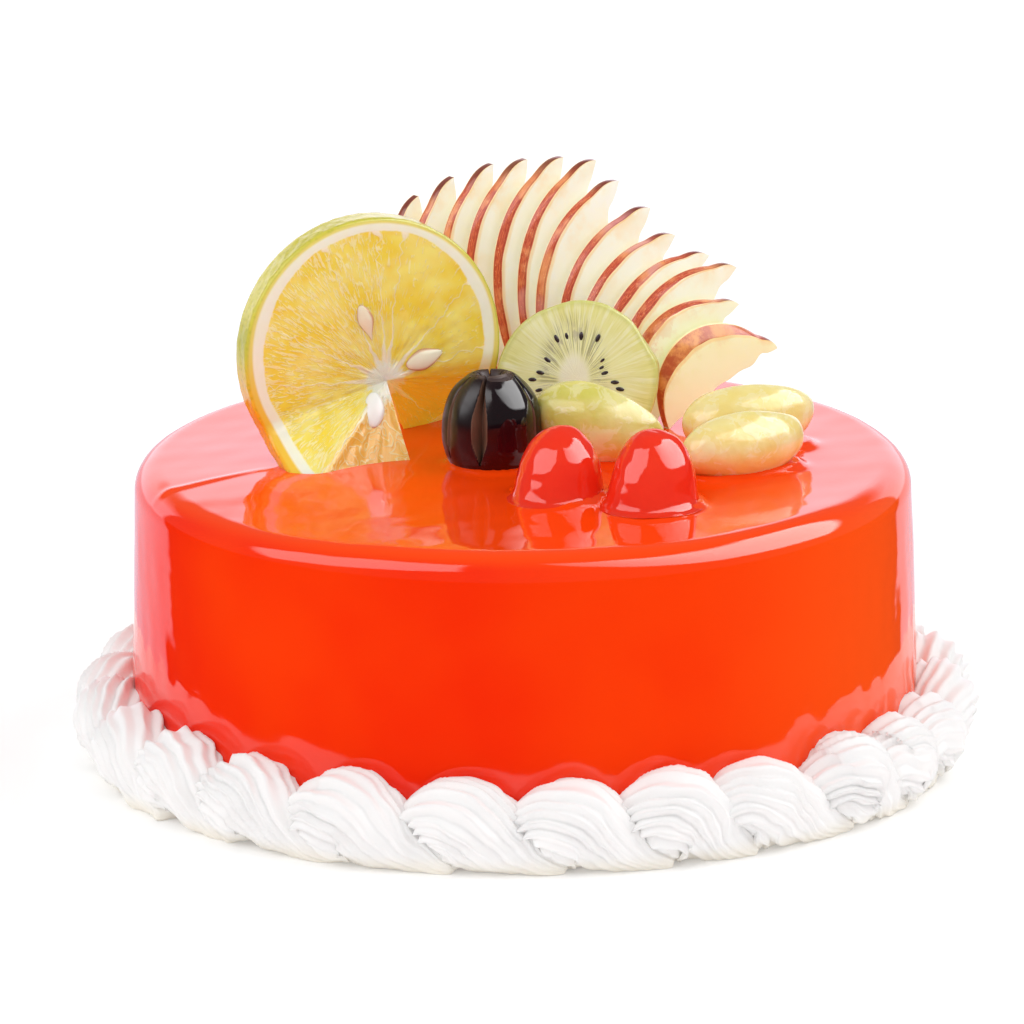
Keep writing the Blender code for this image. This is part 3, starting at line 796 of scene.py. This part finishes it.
def make_cake(material):
    turns = circle(CAKE_COLUMNS)
    top_rings, shoulder_rings, wall_rings = CAKE_RINGS
    flat = WALL_TOP - SHOULDER
    rings = []
    for share in np.linspace(0, 1, top_rings):
        x, y, _ = ring(flat * share, turns, 0.0).T
        rings.append(stacked(x, y, glaze_height(x, y)))
    rim = rings[-1][:, 2] - TOP
    for angle in np.linspace(0, math.pi / 2, shoulder_rings)[1:]:
        height = TOP - SHOULDER + (SHOULDER + rim) * math.cos(angle)
        rings.append(ring(flat + SHOULDER * math.sin(angle), turns, height))
    for share in np.linspace(0, 1, wall_rings)[1:]:
        height = (TOP - SHOULDER) * (1 - share)
        around = ring(1.0, turns, height * 4) * 0.1
        wobble = (0.20 * MM * ripple(around, 46 * MM, 5) + 0.06 * MM * ripple(around, 11 * MM, 6))
        radius = mix(WALL_TOP, WALL_FOOT, share) + wobble * ease(share / 0.2)
        rings.append(ring(radius, turns, height))
    rings.append(np.zeros((len(turns), 3)))
    dress(grid_mesh("glazed_cake", np.array(rings), material), "glaze", "cake")


# ---------------------------------------------------------------- cream

def shell_rope(top, after, rng):
    """Points of one shell: along the wall, out from it and up."""
    pitch = (after - top) * DEG * SHELL_RING / MM
    spine = np.array(SHELL_SPINE)
    spine[:, 0] *= np.where(spine[:, 0] > 0, pitch / SHELL_SPINE[-1][0], 1.0)
    spine[:3, 2] += rng.uniform(-1.4, 0.8)
    spine[2:5, 2] += rng.uniform(-0.8, 0.9)
    spine[5:, 1] += rng.uniform(-0.8, 0.8)
    spine[:, 3] *= rng.uniform(0.95, 1.04)
    path = smooth_path(spine, SHELL_GRID[0]) * MM
    centres, radii = path[:, :3], path[:, 3:]
    ends = np.linspace(0, 1, len(path))[:, None]
    for share in (ends / 0.06, (1 - ends) / 0.05):
        radii = radii * np.sqrt(np.clip(1 - (1 - np.minimum(share, 1)) ** 2, 0, 1))
    forward = unit(np.gradient(centres, axis=0))
    down = unit(np.cross(-FRONT, forward))
    side = np.cross(forward, down)
    around = circle(SHELL_GRID[1])
    turned = around + rng.uniform(0, 6) + SHELL_TWIST * rng.uniform(0.75, 1.25) * ends
    turned = turned + 0.10 * np.sin(3 * turned + rng.uniform(0, 6))
    place = turned * SHELL_RIDGES / FULL_TURN
    crest = mix(np.abs(np.sin(place * math.pi)) ** 0.75,
                1 - np.abs(np.cos(place * math.pi)), SHELL_SHARPNESS)
    grooves = rng.uniform(*SHELL_GROOVES, SHELL_RIDGES)[np.round(place).astype(int) % SHELL_RIDGES]
    petals = rng.uniform(0.2, 1.0, SHELL_RIDGES)[np.floor(place).astype(int) % SHELL_RIDGES]
    reach = radii * (1 - grooves * (1 - crest) * (1 - 0.3 * ends))
    blunt = np.exp(-(ends / 0.11) ** 2) * (1 - np.exp(-(ends / 0.02) ** 2))
    points = (centres[:, None] + (reach * np.cos(around))[..., None] * down[:, None]
              + (reach * np.sin(around))[..., None] * side[:, None]
              - (blunt * crest * petals * SHELL_PETAL)[..., None] * forward[:, None])
    return settled(points, SHELL_FLOOR)


def make_shells(material):
    rng = np.random.default_rng(SHELL_SEED)
    first, last = SHELL_TOPS_FRONT[0], SHELL_TOPS_FRONT[-1]
    step = (360 + first - last) / (SHELLS_BEHIND + 1)
    tops = list(SHELL_TOPS_FRONT) + [last + step * (i + 1) for i in range(SHELLS_BEHIND)]
    for i, (top, after) in enumerate(zip(tops, tops[1:] + [first + 360]), 1):
        along, out, height = np.moveaxis(shell_rope(top, after, rng), -1, 0)
        radius = WALL_FOOT + 0.3 * MM + np.maximum(out, -2.5 * MM)
        placed = ring(radius, top * DEG + along / SHELL_RING, height)
        placed += 0.30 * MM * ripple(placed, 9 * MM, 100 + i)[..., None] * [1, 1, 0.5]
        name = f"cream_shell_{i:02d}"
        shell = grid_mesh("piped_" + name, settled(placed, SHELL_FLOOR), material)
        dress(shell, "cream", name)


# ---------------------------------------------------------------- citrus wheel

def flap_slope(turn):
    slope, start, span = FRONT_FLAP
    front = slope * (1 - ease((turn - start) / span))
    slope, start, span = BACK_FLAP
    return front + slope * ease((turn - start) / span)


def wheel_place(turn, share, depth):
    """Points of the wheel, where they lie on its flat face, and how far from its core."""
    angle = WHEEL_SLIT - turn
    direction = stacked(np.cos(angle), np.sin(angle))
    inward = direction @ WHEEL_CORE
    rim = -inward + np.sqrt(inward ** 2 - WHEEL_CORE @ WHEEL_CORE + WHEEL_RADIUS ** 2)
    reach = share * rim
    flat = WHEEL_CORE + direction * reach[..., None]
    right, forward = facing(WHEEL_YAW)
    out = flap_slope(turn) * reach
    point = (WHEEL_CENTRE + flat[..., :1] * right + flat[..., 1:] * UP
             - np.asarray(depth)[..., None] * forward + out[..., None] * FRONT)
    return point, flat, reach


def pith_start(turn):
    """Where the pith begins, as a share of the wheel's radius."""
    start = np.interp(turn / DEG, *PITH_START)
    return start + 0.004 * np.sin(turn * 7) + 0.003 * np.sin(turn * 17 + 1)


def make_wheel(material):
    """Rows of points at each turn: over the front face, the rim and the rear face."""
    rows, face_points, rim_points = WHEEL_GRID
    turns = np.linspace(0.002, FULL_TURN + FLAP_OVERLAP, rows)
    shares = np.concatenate([np.linspace(0, 0.97, face_points), [0.985, 0.995, 1.0]])
    edge = np.clip((shares - 0.97) / 0.03, 0, 1)
    rounding = WHEEL_ROUNDING * (1 - np.sqrt(1 - edge ** 2))
    rim_steps = np.linspace(WHEEL_ROUNDING, WHEEL_THICKNESS - WHEEL_ROUNDING, rim_points)[1:-1]
    share_line = np.concatenate([shares, np.ones(len(rim_steps)), shares[::-1]])
    depth_line = np.concatenate([rounding, rim_steps, (WHEEL_THICKNESS - rounding)[::-1]])
    turn, share = np.meshgrid(turns, share_line, indexing="ij")
    depth = depth_line * mix(CUT_EDGE_THICKNESS, 1.0, ease(turn / (26 * DEG)))
    point, flat, reach = wheel_place(turn, share, depth)
    radial = np.linalg.norm(flat, axis=-1) / WHEEL_RADIUS
    pith = radial - pith_start(turn)
    flesh = ease((-pith) / 0.03) * ease((reach / MM - 3.0) / 2.0)
    front = np.where(np.arange(len(share_line)) < len(share_line) / 2, 1.0, -1.0)
    grain = stacked(turn * 26, reach / MM * 0.6, 0.0)
    lumps = ripple(grain, 4.0, 21, 24) * 0.13 * MM * flesh
    pits = 0.06 * MM * ripple(point, 3.2 * MM, 22, 20) * (radial > 0.999)
    point = point + ((lumps - 0.25 * MM * flesh) * front)[..., None] * facing(WHEEL_YAW)[1]
    point = point + (point - WHEEL_CENTRE) / WHEEL_RADIUS * pits[..., None]
    attributes = {
        "polar": stacked(turn, reach / MM, radial),
        "pith": pith,
        "tan": ease((FRONT_FLAP[1] + 0.10 - turn) / 0.14) * 0.85,
        # painted light: where the rear flap is tinted and made to glow as if lit from behind
        "painted_backlight": ease((turn - 258 * DEG) / (62 * DEG)) * 0.9,
        "streaky": 1 - ease((turn - 185 * DEG) / (30 * DEG)),
    }
    wheel = grid_mesh("citrus_slice", settled(point, FRUIT_SUNK), material, attributes,
                      55 * DEG, filled=True)
    dress(wheel, "citrus", "citrus_wheel")


def face_point(turn, reach):
    """Point just under the wheel's face at a turn in degrees and a reach in millimetres."""
    turn = turn * DEG
    half_reach = wheel_place(turn, 0.5, 0.0)[2]
    return wheel_place(turn, reach * MM / half_reach * 0.5, 0.1 * MM)[0]


def make_citrus_seeds(material):
    """Flat seeds in the face, each along the line between its two ends."""
    steps = np.linspace(0, 1, 26)[:, None]
    around = circle(32)
    for name, (first, last, width, pointed, whiteness) in CITRUS_SEEDS.items():
        start, end = face_point(*first), face_point(*last)
        along = unit(end - start)
        out = unit(FRONT - along * (FRONT @ along))
        across = np.cross(along, out)
        taper = 1 - 0.75 * pointed * ease((steps - 0.35) / 0.65)
        fat = np.sin(math.pi * steps) ** 0.55 * taper * width / 2 * MM
        points = (mix(start, end, steps)[:, None] + (fat * np.cos(around))[..., None] * across
                  + (fat * 0.52 * np.sin(around))[..., None] * out)
        rim = ease((0.74 - np.sin(around)) / 0.30) * (1 - 0.8 * whiteness)
        piece = grid_mesh(name, points, material, {"rim": rim, "white": whiteness})
        dress(piece, "citrus")


# ---------------------------------------------------------------- fan

def fan_outline(i, t):
    """Inner edge and the skin's line of a slice at shares of its chord, above the chord."""
    early = mix(*FAN_EARLY, ease((i - 4) / 8))
    peak = early / (early + FAN_LATE)
    crest = peak ** early * (1 - peak) ** FAN_LATE
    skin_line = t ** early * (1 - t) ** FAN_LATE / crest
    inner = FAN_HOLLOW * np.sin(math.pi * t) + FAN_BEAK * np.exp(-((t - 0.90) / 0.06) ** 2)
    inner = inner + 0.18 * MM * np.sin(t * 31 + 2 * i)
    wander = 0.22 * MM * np.sin(t * 13 + i * 1.7) + 0.12 * MM * np.sin(t * 37 + i)
    inset = np.interp(i, *FAN_INSET) * MM
    outer_front = skin_line * (FAN_BULGE - inset + wander)
    outer_back = skin_line * (FAN_BULGE + FAN_SLANT)
    return np.minimum(inner, outer_front), outer_front, outer_back


def make_fan(material):
    """Slices whose loops run over the front face to the skin, over it, and over the back."""
    right, forward = facing(FAN_YAW)
    steps, face_steps, skin_steps = FAN_GRID
    face = np.linspace(0, 1, face_steps)
    band = np.linspace(0, 1, skin_steps)[1:-1]
    out = np.concatenate([face, np.ones_like(band), face[::-1]])
    through = np.concatenate([np.zeros_like(face), band, np.ones_like(face)])
    layer = np.concatenate([np.ones_like(face), band, np.zeros_like(face)])
    near = np.clip((out - 0.5) / 0.5, 0, 1)
    t = (1 - np.cos(math.pi * np.linspace(0, 1, steps)[:, None])) / 2
    hook = ease((t - 0.93) / 0.07) * FAN_BEAK
    for i in range(FAN_COUNT):
        foot = mix(FAN_BACK, FAN_FRONT, i / (FAN_COUNT - 1))
        lean, chord = FAN_LEAN[i] * DEG, FAN_CHORD[i] * MM
        along = right * math.cos(lean) + UP * math.sin(lean)
        across = -right * math.sin(lean) + UP * math.cos(lean)
        inner, outer_front, outer_back = fan_outline(i, t)
        outer = mix(outer_front, outer_back, through)
        height = mix(inner, outer, out) + 0.25 * MM * np.sin(math.pi * through)
        depth = mix(0.5, -0.5, through) * FAN_THICKNESS + 0.15 * MM * np.sin(t * 9 + i)
        points = (np.array([*foot, TOP]) + (t * chord + hook)[..., None] * along
                  + (height + 0.4 * hook)[..., None] * across + depth[..., None] * forward)
        worn = max(0.0, (i - FAN_FRESH) / (FAN_COUNT - 1 - FAN_FRESH))
        attributes = {
            "skin": (through > 0) & (through < 1),
            "near_skin": np.clip((out - 0.9) / 0.1, 0, 1),
            "place": stacked(t, out, layer),
            "stain": worn * (near * 0.75 + 0.2) * np.minimum(1.0, 1.35 - t),
            "tip": ease((t - 0.45) / 0.5) * (0.4 + 0.6 * near) + 0.25 * near,
            "worn": worn,
        }
        name = f"red_skin_slice_{i + 1:02d}"
        piece = grid_mesh("fan_" + name, settled(points, FRUIT_SUNK), material, attributes,
                          50 * DEG)
        dress(piece, "red_skin_slices", name)


# ---------------------------------------------------------------- green slice

def disc_point(turn, share, depth):
    wave = 1 + sum(s * np.sin(count * turn + phase) for count, s, phase in DISC_WAVES)
    reach = DISC_RADIUS * share * wave
    local = stacked(np.cos(turn) * reach, np.sin(turn) * reach, depth)
    return DISC_CENTRE + local @ np.array(Matrix.Rotation(DISC_TILT, 3, "X")).T


def make_green_slice(material):
    """Rings of points from the front face's centre, over the rim, to the rear face's centre."""
    shares = np.concatenate([np.linspace(0, 0.955, 34), [0.975, 0.99, 1.0]])
    edge = np.clip((shares - 0.955) / 0.045, 0, 1)
    level = DISC_THICKNESS / 2 - DISC_ROUNDING * (1 - np.sqrt(1 - edge ** 2))
    middle = np.linspace(1, -1, 8)[1:-1] * (DISC_THICKNESS / 2 - DISC_ROUNDING)
    share_line = np.concatenate([shares, np.ones_like(middle), shares[::-1]])[:, None]
    depth = np.concatenate([level, middle, -level[::-1]])[:, None]
    turn = circle(DISC_COLUMNS)
    dish = 0.2 * MM * (1 - ease((share_line - 0.2) / 0.5)) * np.sign(depth)
    points = disc_point(turn, share_line, depth + dish)
    points = points + 0.18 * MM * ripple(points, 9 * MM, 8)[..., None]
    attributes = {
        "polar": stacked(turn, share_line, np.sign(depth)),
        "local": stacked(share_line * np.cos(turn), share_line * np.sin(turn), 0.0),
    }
    piece = grid_mesh("green_slice", settled(points, FRUIT_SUNK), material, attributes)
    dress(piece, "green_slice", "green_fruit_slice")


def make_green_slice_seeds(material):
    seeds = bmesh.new()
    tilt = Matrix.Rotation(DISC_TILT, 4, "X")
    for face in (1, -1):
        for degrees, reach, deep in DISC_SEEDS:
            turn = degrees * DEG
            centre = disc_point(turn, reach, face * (DISC_THICKNESS / 2 - 0.15 * MM * deep))
            made = bmesh.ops.create_uvsphere(seeds, u_segments=14, v_segments=10, radius=1.0)
            shape = (Matrix.Translation(centre) @ tilt @ Matrix.Rotation(turn, 4, "Z")
                     @ Matrix.Diagonal((*DISC_SEED, 1)))
            bmesh.ops.transform(seeds, matrix=shape, verts=made["verts"])
    piece = add_shape("green_slice_seeds", seeds, material)
    piece.data.shade_smooth()
    dress(piece, "green_slice")


# ---------------------------------------------------------------- grapes and cherries

def make_green_grape(name, material):
    """An egg shape whose rear is cut off along a soft edge."""
    centre, half_length, radius, yaw, tilt, fresh = GREEN_GRAPES[name]
    u = np.linspace(0, math.pi, GRAPE_GRID[0])[:, None]
    v = circle(GRAPE_GRID[1])
    x = -np.cos(u)
    girth = np.sin(u) ** 0.92 * radius
    points = stacked(x * half_length, girth * np.cos(v), girth * np.sin(v)) * MM
    cut = unit(np.array(GRAPE_CUT_NORMAL))
    beyond = points @ cut - GRAPE_CUT_OFFSET
    soft = 0.3 * MM
    points = points - (np.logaddexp(0, beyond / soft) * soft)[..., None] * cut
    attributes = {
        "rim": np.exp(-np.abs(beyond) / (1.1 * MM)),
        "fresh": fresh,
        # where the whitish highlight is painted on the flesh
        "painted_highlight": ease(1.4 - np.hypot(x / 0.85, np.sin((v - 5.0) / 2) / 0.5)),
    }
    points = points * (1 + 0.014 * ripple(points, 12 * MM, len(name))[..., None])
    turn = np.array(Matrix.Rotation(yaw * DEG, 3, "Z") @ Matrix.Rotation(tilt * DEG, 3, "Y"))
    points = settled(points @ turn.T + np.array(centre) * MM, FRUIT_SUNK)
    dress(grid_mesh("cut_" + name, points, material, attributes), "green_grapes", name)


def make_dark_grape(material):
    """A round grape whose skin is slit from the top into petals with brown flesh between."""
    rings, columns = DARK_GRAPE_GRID
    outline = smooth_path(DARK_GRAPE_PROFILE, rings)
    around, radius = np.meshgrid(circle(columns), np.maximum(outline[:, 0], 0.0))
    height = outline[:, 1:]
    inner = ease((np.linspace(0, 1, len(outline))[:, None] - 0.66) / 0.05)
    opening = ease((height - 0.04) / 0.35)
    depth, sloping = np.zeros_like(around), np.zeros_like(around)
    for degrees, half_width, deep in DARK_GRAPE_SLITS:
        away = angle_between(around, degrees * DEG)
        lens = half_width * DEG * opening * mix(1.0, 0.35, ease((height - 0.55) / 0.4))
        lens = lens / np.maximum(radius, 0.25) ** 0.5
        notch = np.clip(1 - away / np.maximum(lens, 1e-4), 0, 1)
        depth = np.maximum(depth, notch ** 0.8 * deep)
        beside = np.exp(-np.maximum(away - lens, 0) / (15 * DEG))
        sloping = np.maximum(sloping, 0.065 * beside * opening)
    rear = ease((np.sin(around) + 0.35) / 0.5)
    edge = mix(*DARK_GRAPE_CAP, rear) + 0.012 * np.sin(2 * around + 0.6) * (1 - rear)
    cap = ease((height - edge) / 0.012) * (1 - inner)
    flesh = np.maximum(np.maximum(np.clip(depth / 0.05, 0, 1), inner), cap)
    depth = np.maximum(depth, 0.085 * cap)
    inward = np.maximum(depth, sloping) * np.minimum(radius, 1.0)
    reach = DARK_GRAPE_RADIUS * (radius + 0.02 - inward)
    lift = DARK_GRAPE_HEIGHT * (height - 0.30 * depth * ease((height - 0.5) / 0.5))
    points = stacked(reach * np.cos(around), reach * np.sin(around), lift)
    points = points * (1 + 0.012 * ripple(points, 12 * MM, 9)[..., None])
    points = points + np.array([*DARK_GRAPE_PLACE, DARK_GRAPE_FOOT])
    # cap also marks the top pit, whose flesh the material paints in shade
    attributes = {"flesh": flesh, "cap": np.maximum(cap, inner)}
    piece = grid_mesh("slit_dark_grape", points, material, attributes, 40 * DEG, filled=True)
    dress(piece, "dark_grape", "dark_grape")


def make_cherry(name, material):
    """A cherry under glaze that has run down it and gathered at its foot."""
    place, radius, height = CHERRIES[name]
    wide, high = np.hsplit(smooth_path(CHERRY_PROFILE, CHERRY_GRID[0]), 2)
    around = circle(CHERRY_GRID[1])
    reach = np.maximum(wide, 0.0) * radius
    for degrees, width, limit, power, amount in CHERRY_SAGS:
        away = angle_between(around, degrees * DEG) / (width * DEG)
        reach = reach + np.exp(-away ** 2) * np.maximum(0.0, 1 - high / limit) ** power * amount
    points = stacked(reach * np.cos(around), reach * np.sin(around), high * height) * MM
    points = points * (1 + 0.012 * ripple(points, 13 * MM, 31 + len(name))[..., None])
    dents = np.clip(points[..., 2:] / (0.5 * height * MM), 0, 1)
    points = points + 0.075 * MM * ripple(points, 4.0 * MM, 41 + len(name))[..., None] * dents
    points = points + np.array([place[0] * MM, place[1] * MM, CHERRY_FOOT])
    dress(grid_mesh("glazed_" + name, points, material, filled=True), "cherries", name)


# ---------------------------------------------------------------- stage

def make_camera():
    lens = bpy.data.cameras.new("camera")
    lens.sensor_width = SENSOR_WIDTH
    lens.lens = SENSOR_WIDTH * FOCAL_SHARE
    camera = add_object("camera", lens)
    back = Vector((0, -math.cos(CAMERA_ELEVATION), math.sin(CAMERA_ELEVATION)))
    camera.location = Vector(CAMERA_PIVOT) + back * CAMERA_DISTANCE
    look = (camera.location - Vector(CAMERA_TARGET)).to_track_quat("Z", "Y").to_matrix()
    camera.rotation_euler = (look @ Matrix.Rotation(CAMERA_ROLL, 3, "Z")).to_euler()
    bpy.context.scene.camera = camera


def make_floor(material):
    shape = bmesh.new()
    bmesh.ops.create_grid(shape, x_segments=1, y_segments=1, size=FLOOR_HALF)
    floor = add_shape("floor", shape, material)
    floor.visible_glossy = False


def make_turntable(material):
    """A pale disc under the cake that only reflections show, beyond which they are dark."""
    shape = bmesh.new()
    bmesh.ops.create_circle(shape, cap_ends=True, segments=128, radius=TURNTABLE_RADIUS)
    bmesh.ops.translate(shape, vec=(0, 0, TURNTABLE_LEVEL), verts=shape.verts)
    disc = add_shape("turntable", shape, material)
    disc.visible_camera = disc.visible_diffuse = disc.visible_shadow = False
    disc.visible_transmission = False


class Sky(Graph):
    """The studio as a function of direction, as math nodes of a world."""

    def __init__(self, world):
        super().__init__(world.node_tree)
        x, y, z = self.split(self.node("ShaderNodeTexCoord", {}, "Generated"))
        self.azimuth = self.math("DEGREES", self.math("ARCTAN2", x, y * -1.0))
        self.elevation = self.math("DEGREES", self.math("ARCSINE", z))
        self.from_back = self.math("DEGREES", self.math("ARCTAN2", x, y))

    def rise(self, value, low, high):
        """0 where the value is below low, 1 where it is above high."""
        rest = value - (low + high) / 2
        return self.math("MULTIPLY_ADD", rest, 1 / (high - low), 0.5, clamp=True)

    def above(self, value, limit, softness=1.5):
        return self.rise(value, limit - softness, limit + softness)

    def window(self, corners):
        """Convex shape given by its corners in degrees, in either sense of turning."""
        turns = [(b[0] - a[0]) * (c[1] - b[1]) - (b[1] - a[1]) * (c[0] - b[0])
                 for a, b, c in zip(corners, corners[1:], corners[2:])]
        sides = []
        for start, end in zip(corners, corners[1:] + corners[:1]):
            run, rise = end[0] - start[0], end[1] - start[1]
            length = math.copysign(math.hypot(run, rise), sum(turns))
            inside = self.elevation * (run / length) - self.azimuth * (rise / length)
            sides.append(self.above(inside, (run * start[1] - rise * start[0]) / length, 2.0))
        return reduce(Value.__mul__, sides)

    def back(self, span):
        """1 behind the cake, between two azimuths, through 180."""
        left = self.above(self.from_back, -180 - span[0], 1.0)
        return left * (1.0 - self.above(self.from_back, 180 - span[1], 1.0))


def make_world():
    world = bpy.data.worlds.new("studio")
    bpy.context.scene.world = world
    world.use_nodes = True
    sky = Sky(world)
    over = sky.above(sky.elevation, 0.0)
    under = 1.0 - over
    lamp, gloss = over * DOME_LEVEL, over * DOME_GLOSS
    for corners, seen, lit, glow in WINDOWS:
        shape = sky.window(corners)
        if glow:
            bright = sky.rise(sky.azimuth, *glow) * (1 - WINDOW_DIM_END) + WINDOW_DIM_END
            shape = shape * bright
        lamp = lamp.most(shape * lit)
        gloss = gloss.most(shape * seen)
    gloss = gloss.most(under * BELOW_LEVEL)
    wall = sky.back(BACK_SPAN) * over * (1.0 - sky.rise(sky.elevation, *BACK_FADE))
    wall = wall * BACK_LEVEL + under * sky.back(SIDE_SPAN) * SIDE_LEVEL
    is_gloss = sky.node("ShaderNodeLightPath", {}, "Is Glossy Ray")
    is_camera = sky.node("ShaderNodeLightPath", {}, "Is Camera Ray")
    level = (gloss * is_gloss + lamp * (1.0 - is_gloss)).most(is_camera)
    background = world.node_tree.nodes["Background"]
    sky.put(background.inputs["Color"], (1, 1, 1))
    sky.put(background.inputs["Strength"], level)
    tinted = sky.node("ShaderNodeBackground", {"Color": BACK_TINT, "Strength": wall * is_gloss})
    both = sky.node("ShaderNodeAddShader", {0: Value(sky, background.outputs[0]), 1: tinted})
    sky.put(world.node_tree.nodes["World Output"].inputs["Surface"], both)


def main():
    floor = floor_material()
    make_camera()
    make_floor(floor)
    make_turntable(floor)
    make_world()
    make_cake(glaze_material())
    make_shells(cream_material())
    make_wheel(citrus_material())
    make_citrus_seeds(seed_material())
    make_fan(slice_material())
    make_green_slice(green_slice_material())
    make_green_slice_seeds(dark_seed_material())
    grape = green_grape_material()
    for name in GREEN_GRAPES:
        make_green_grape(name, grape)
    make_dark_grape(dark_grape_material())
    cherry = cherry_material()
    for name in CHERRIES:
        make_cherry(name, cherry)
    bpy.context.scene.view_settings.view_transform = "Standard"


main()
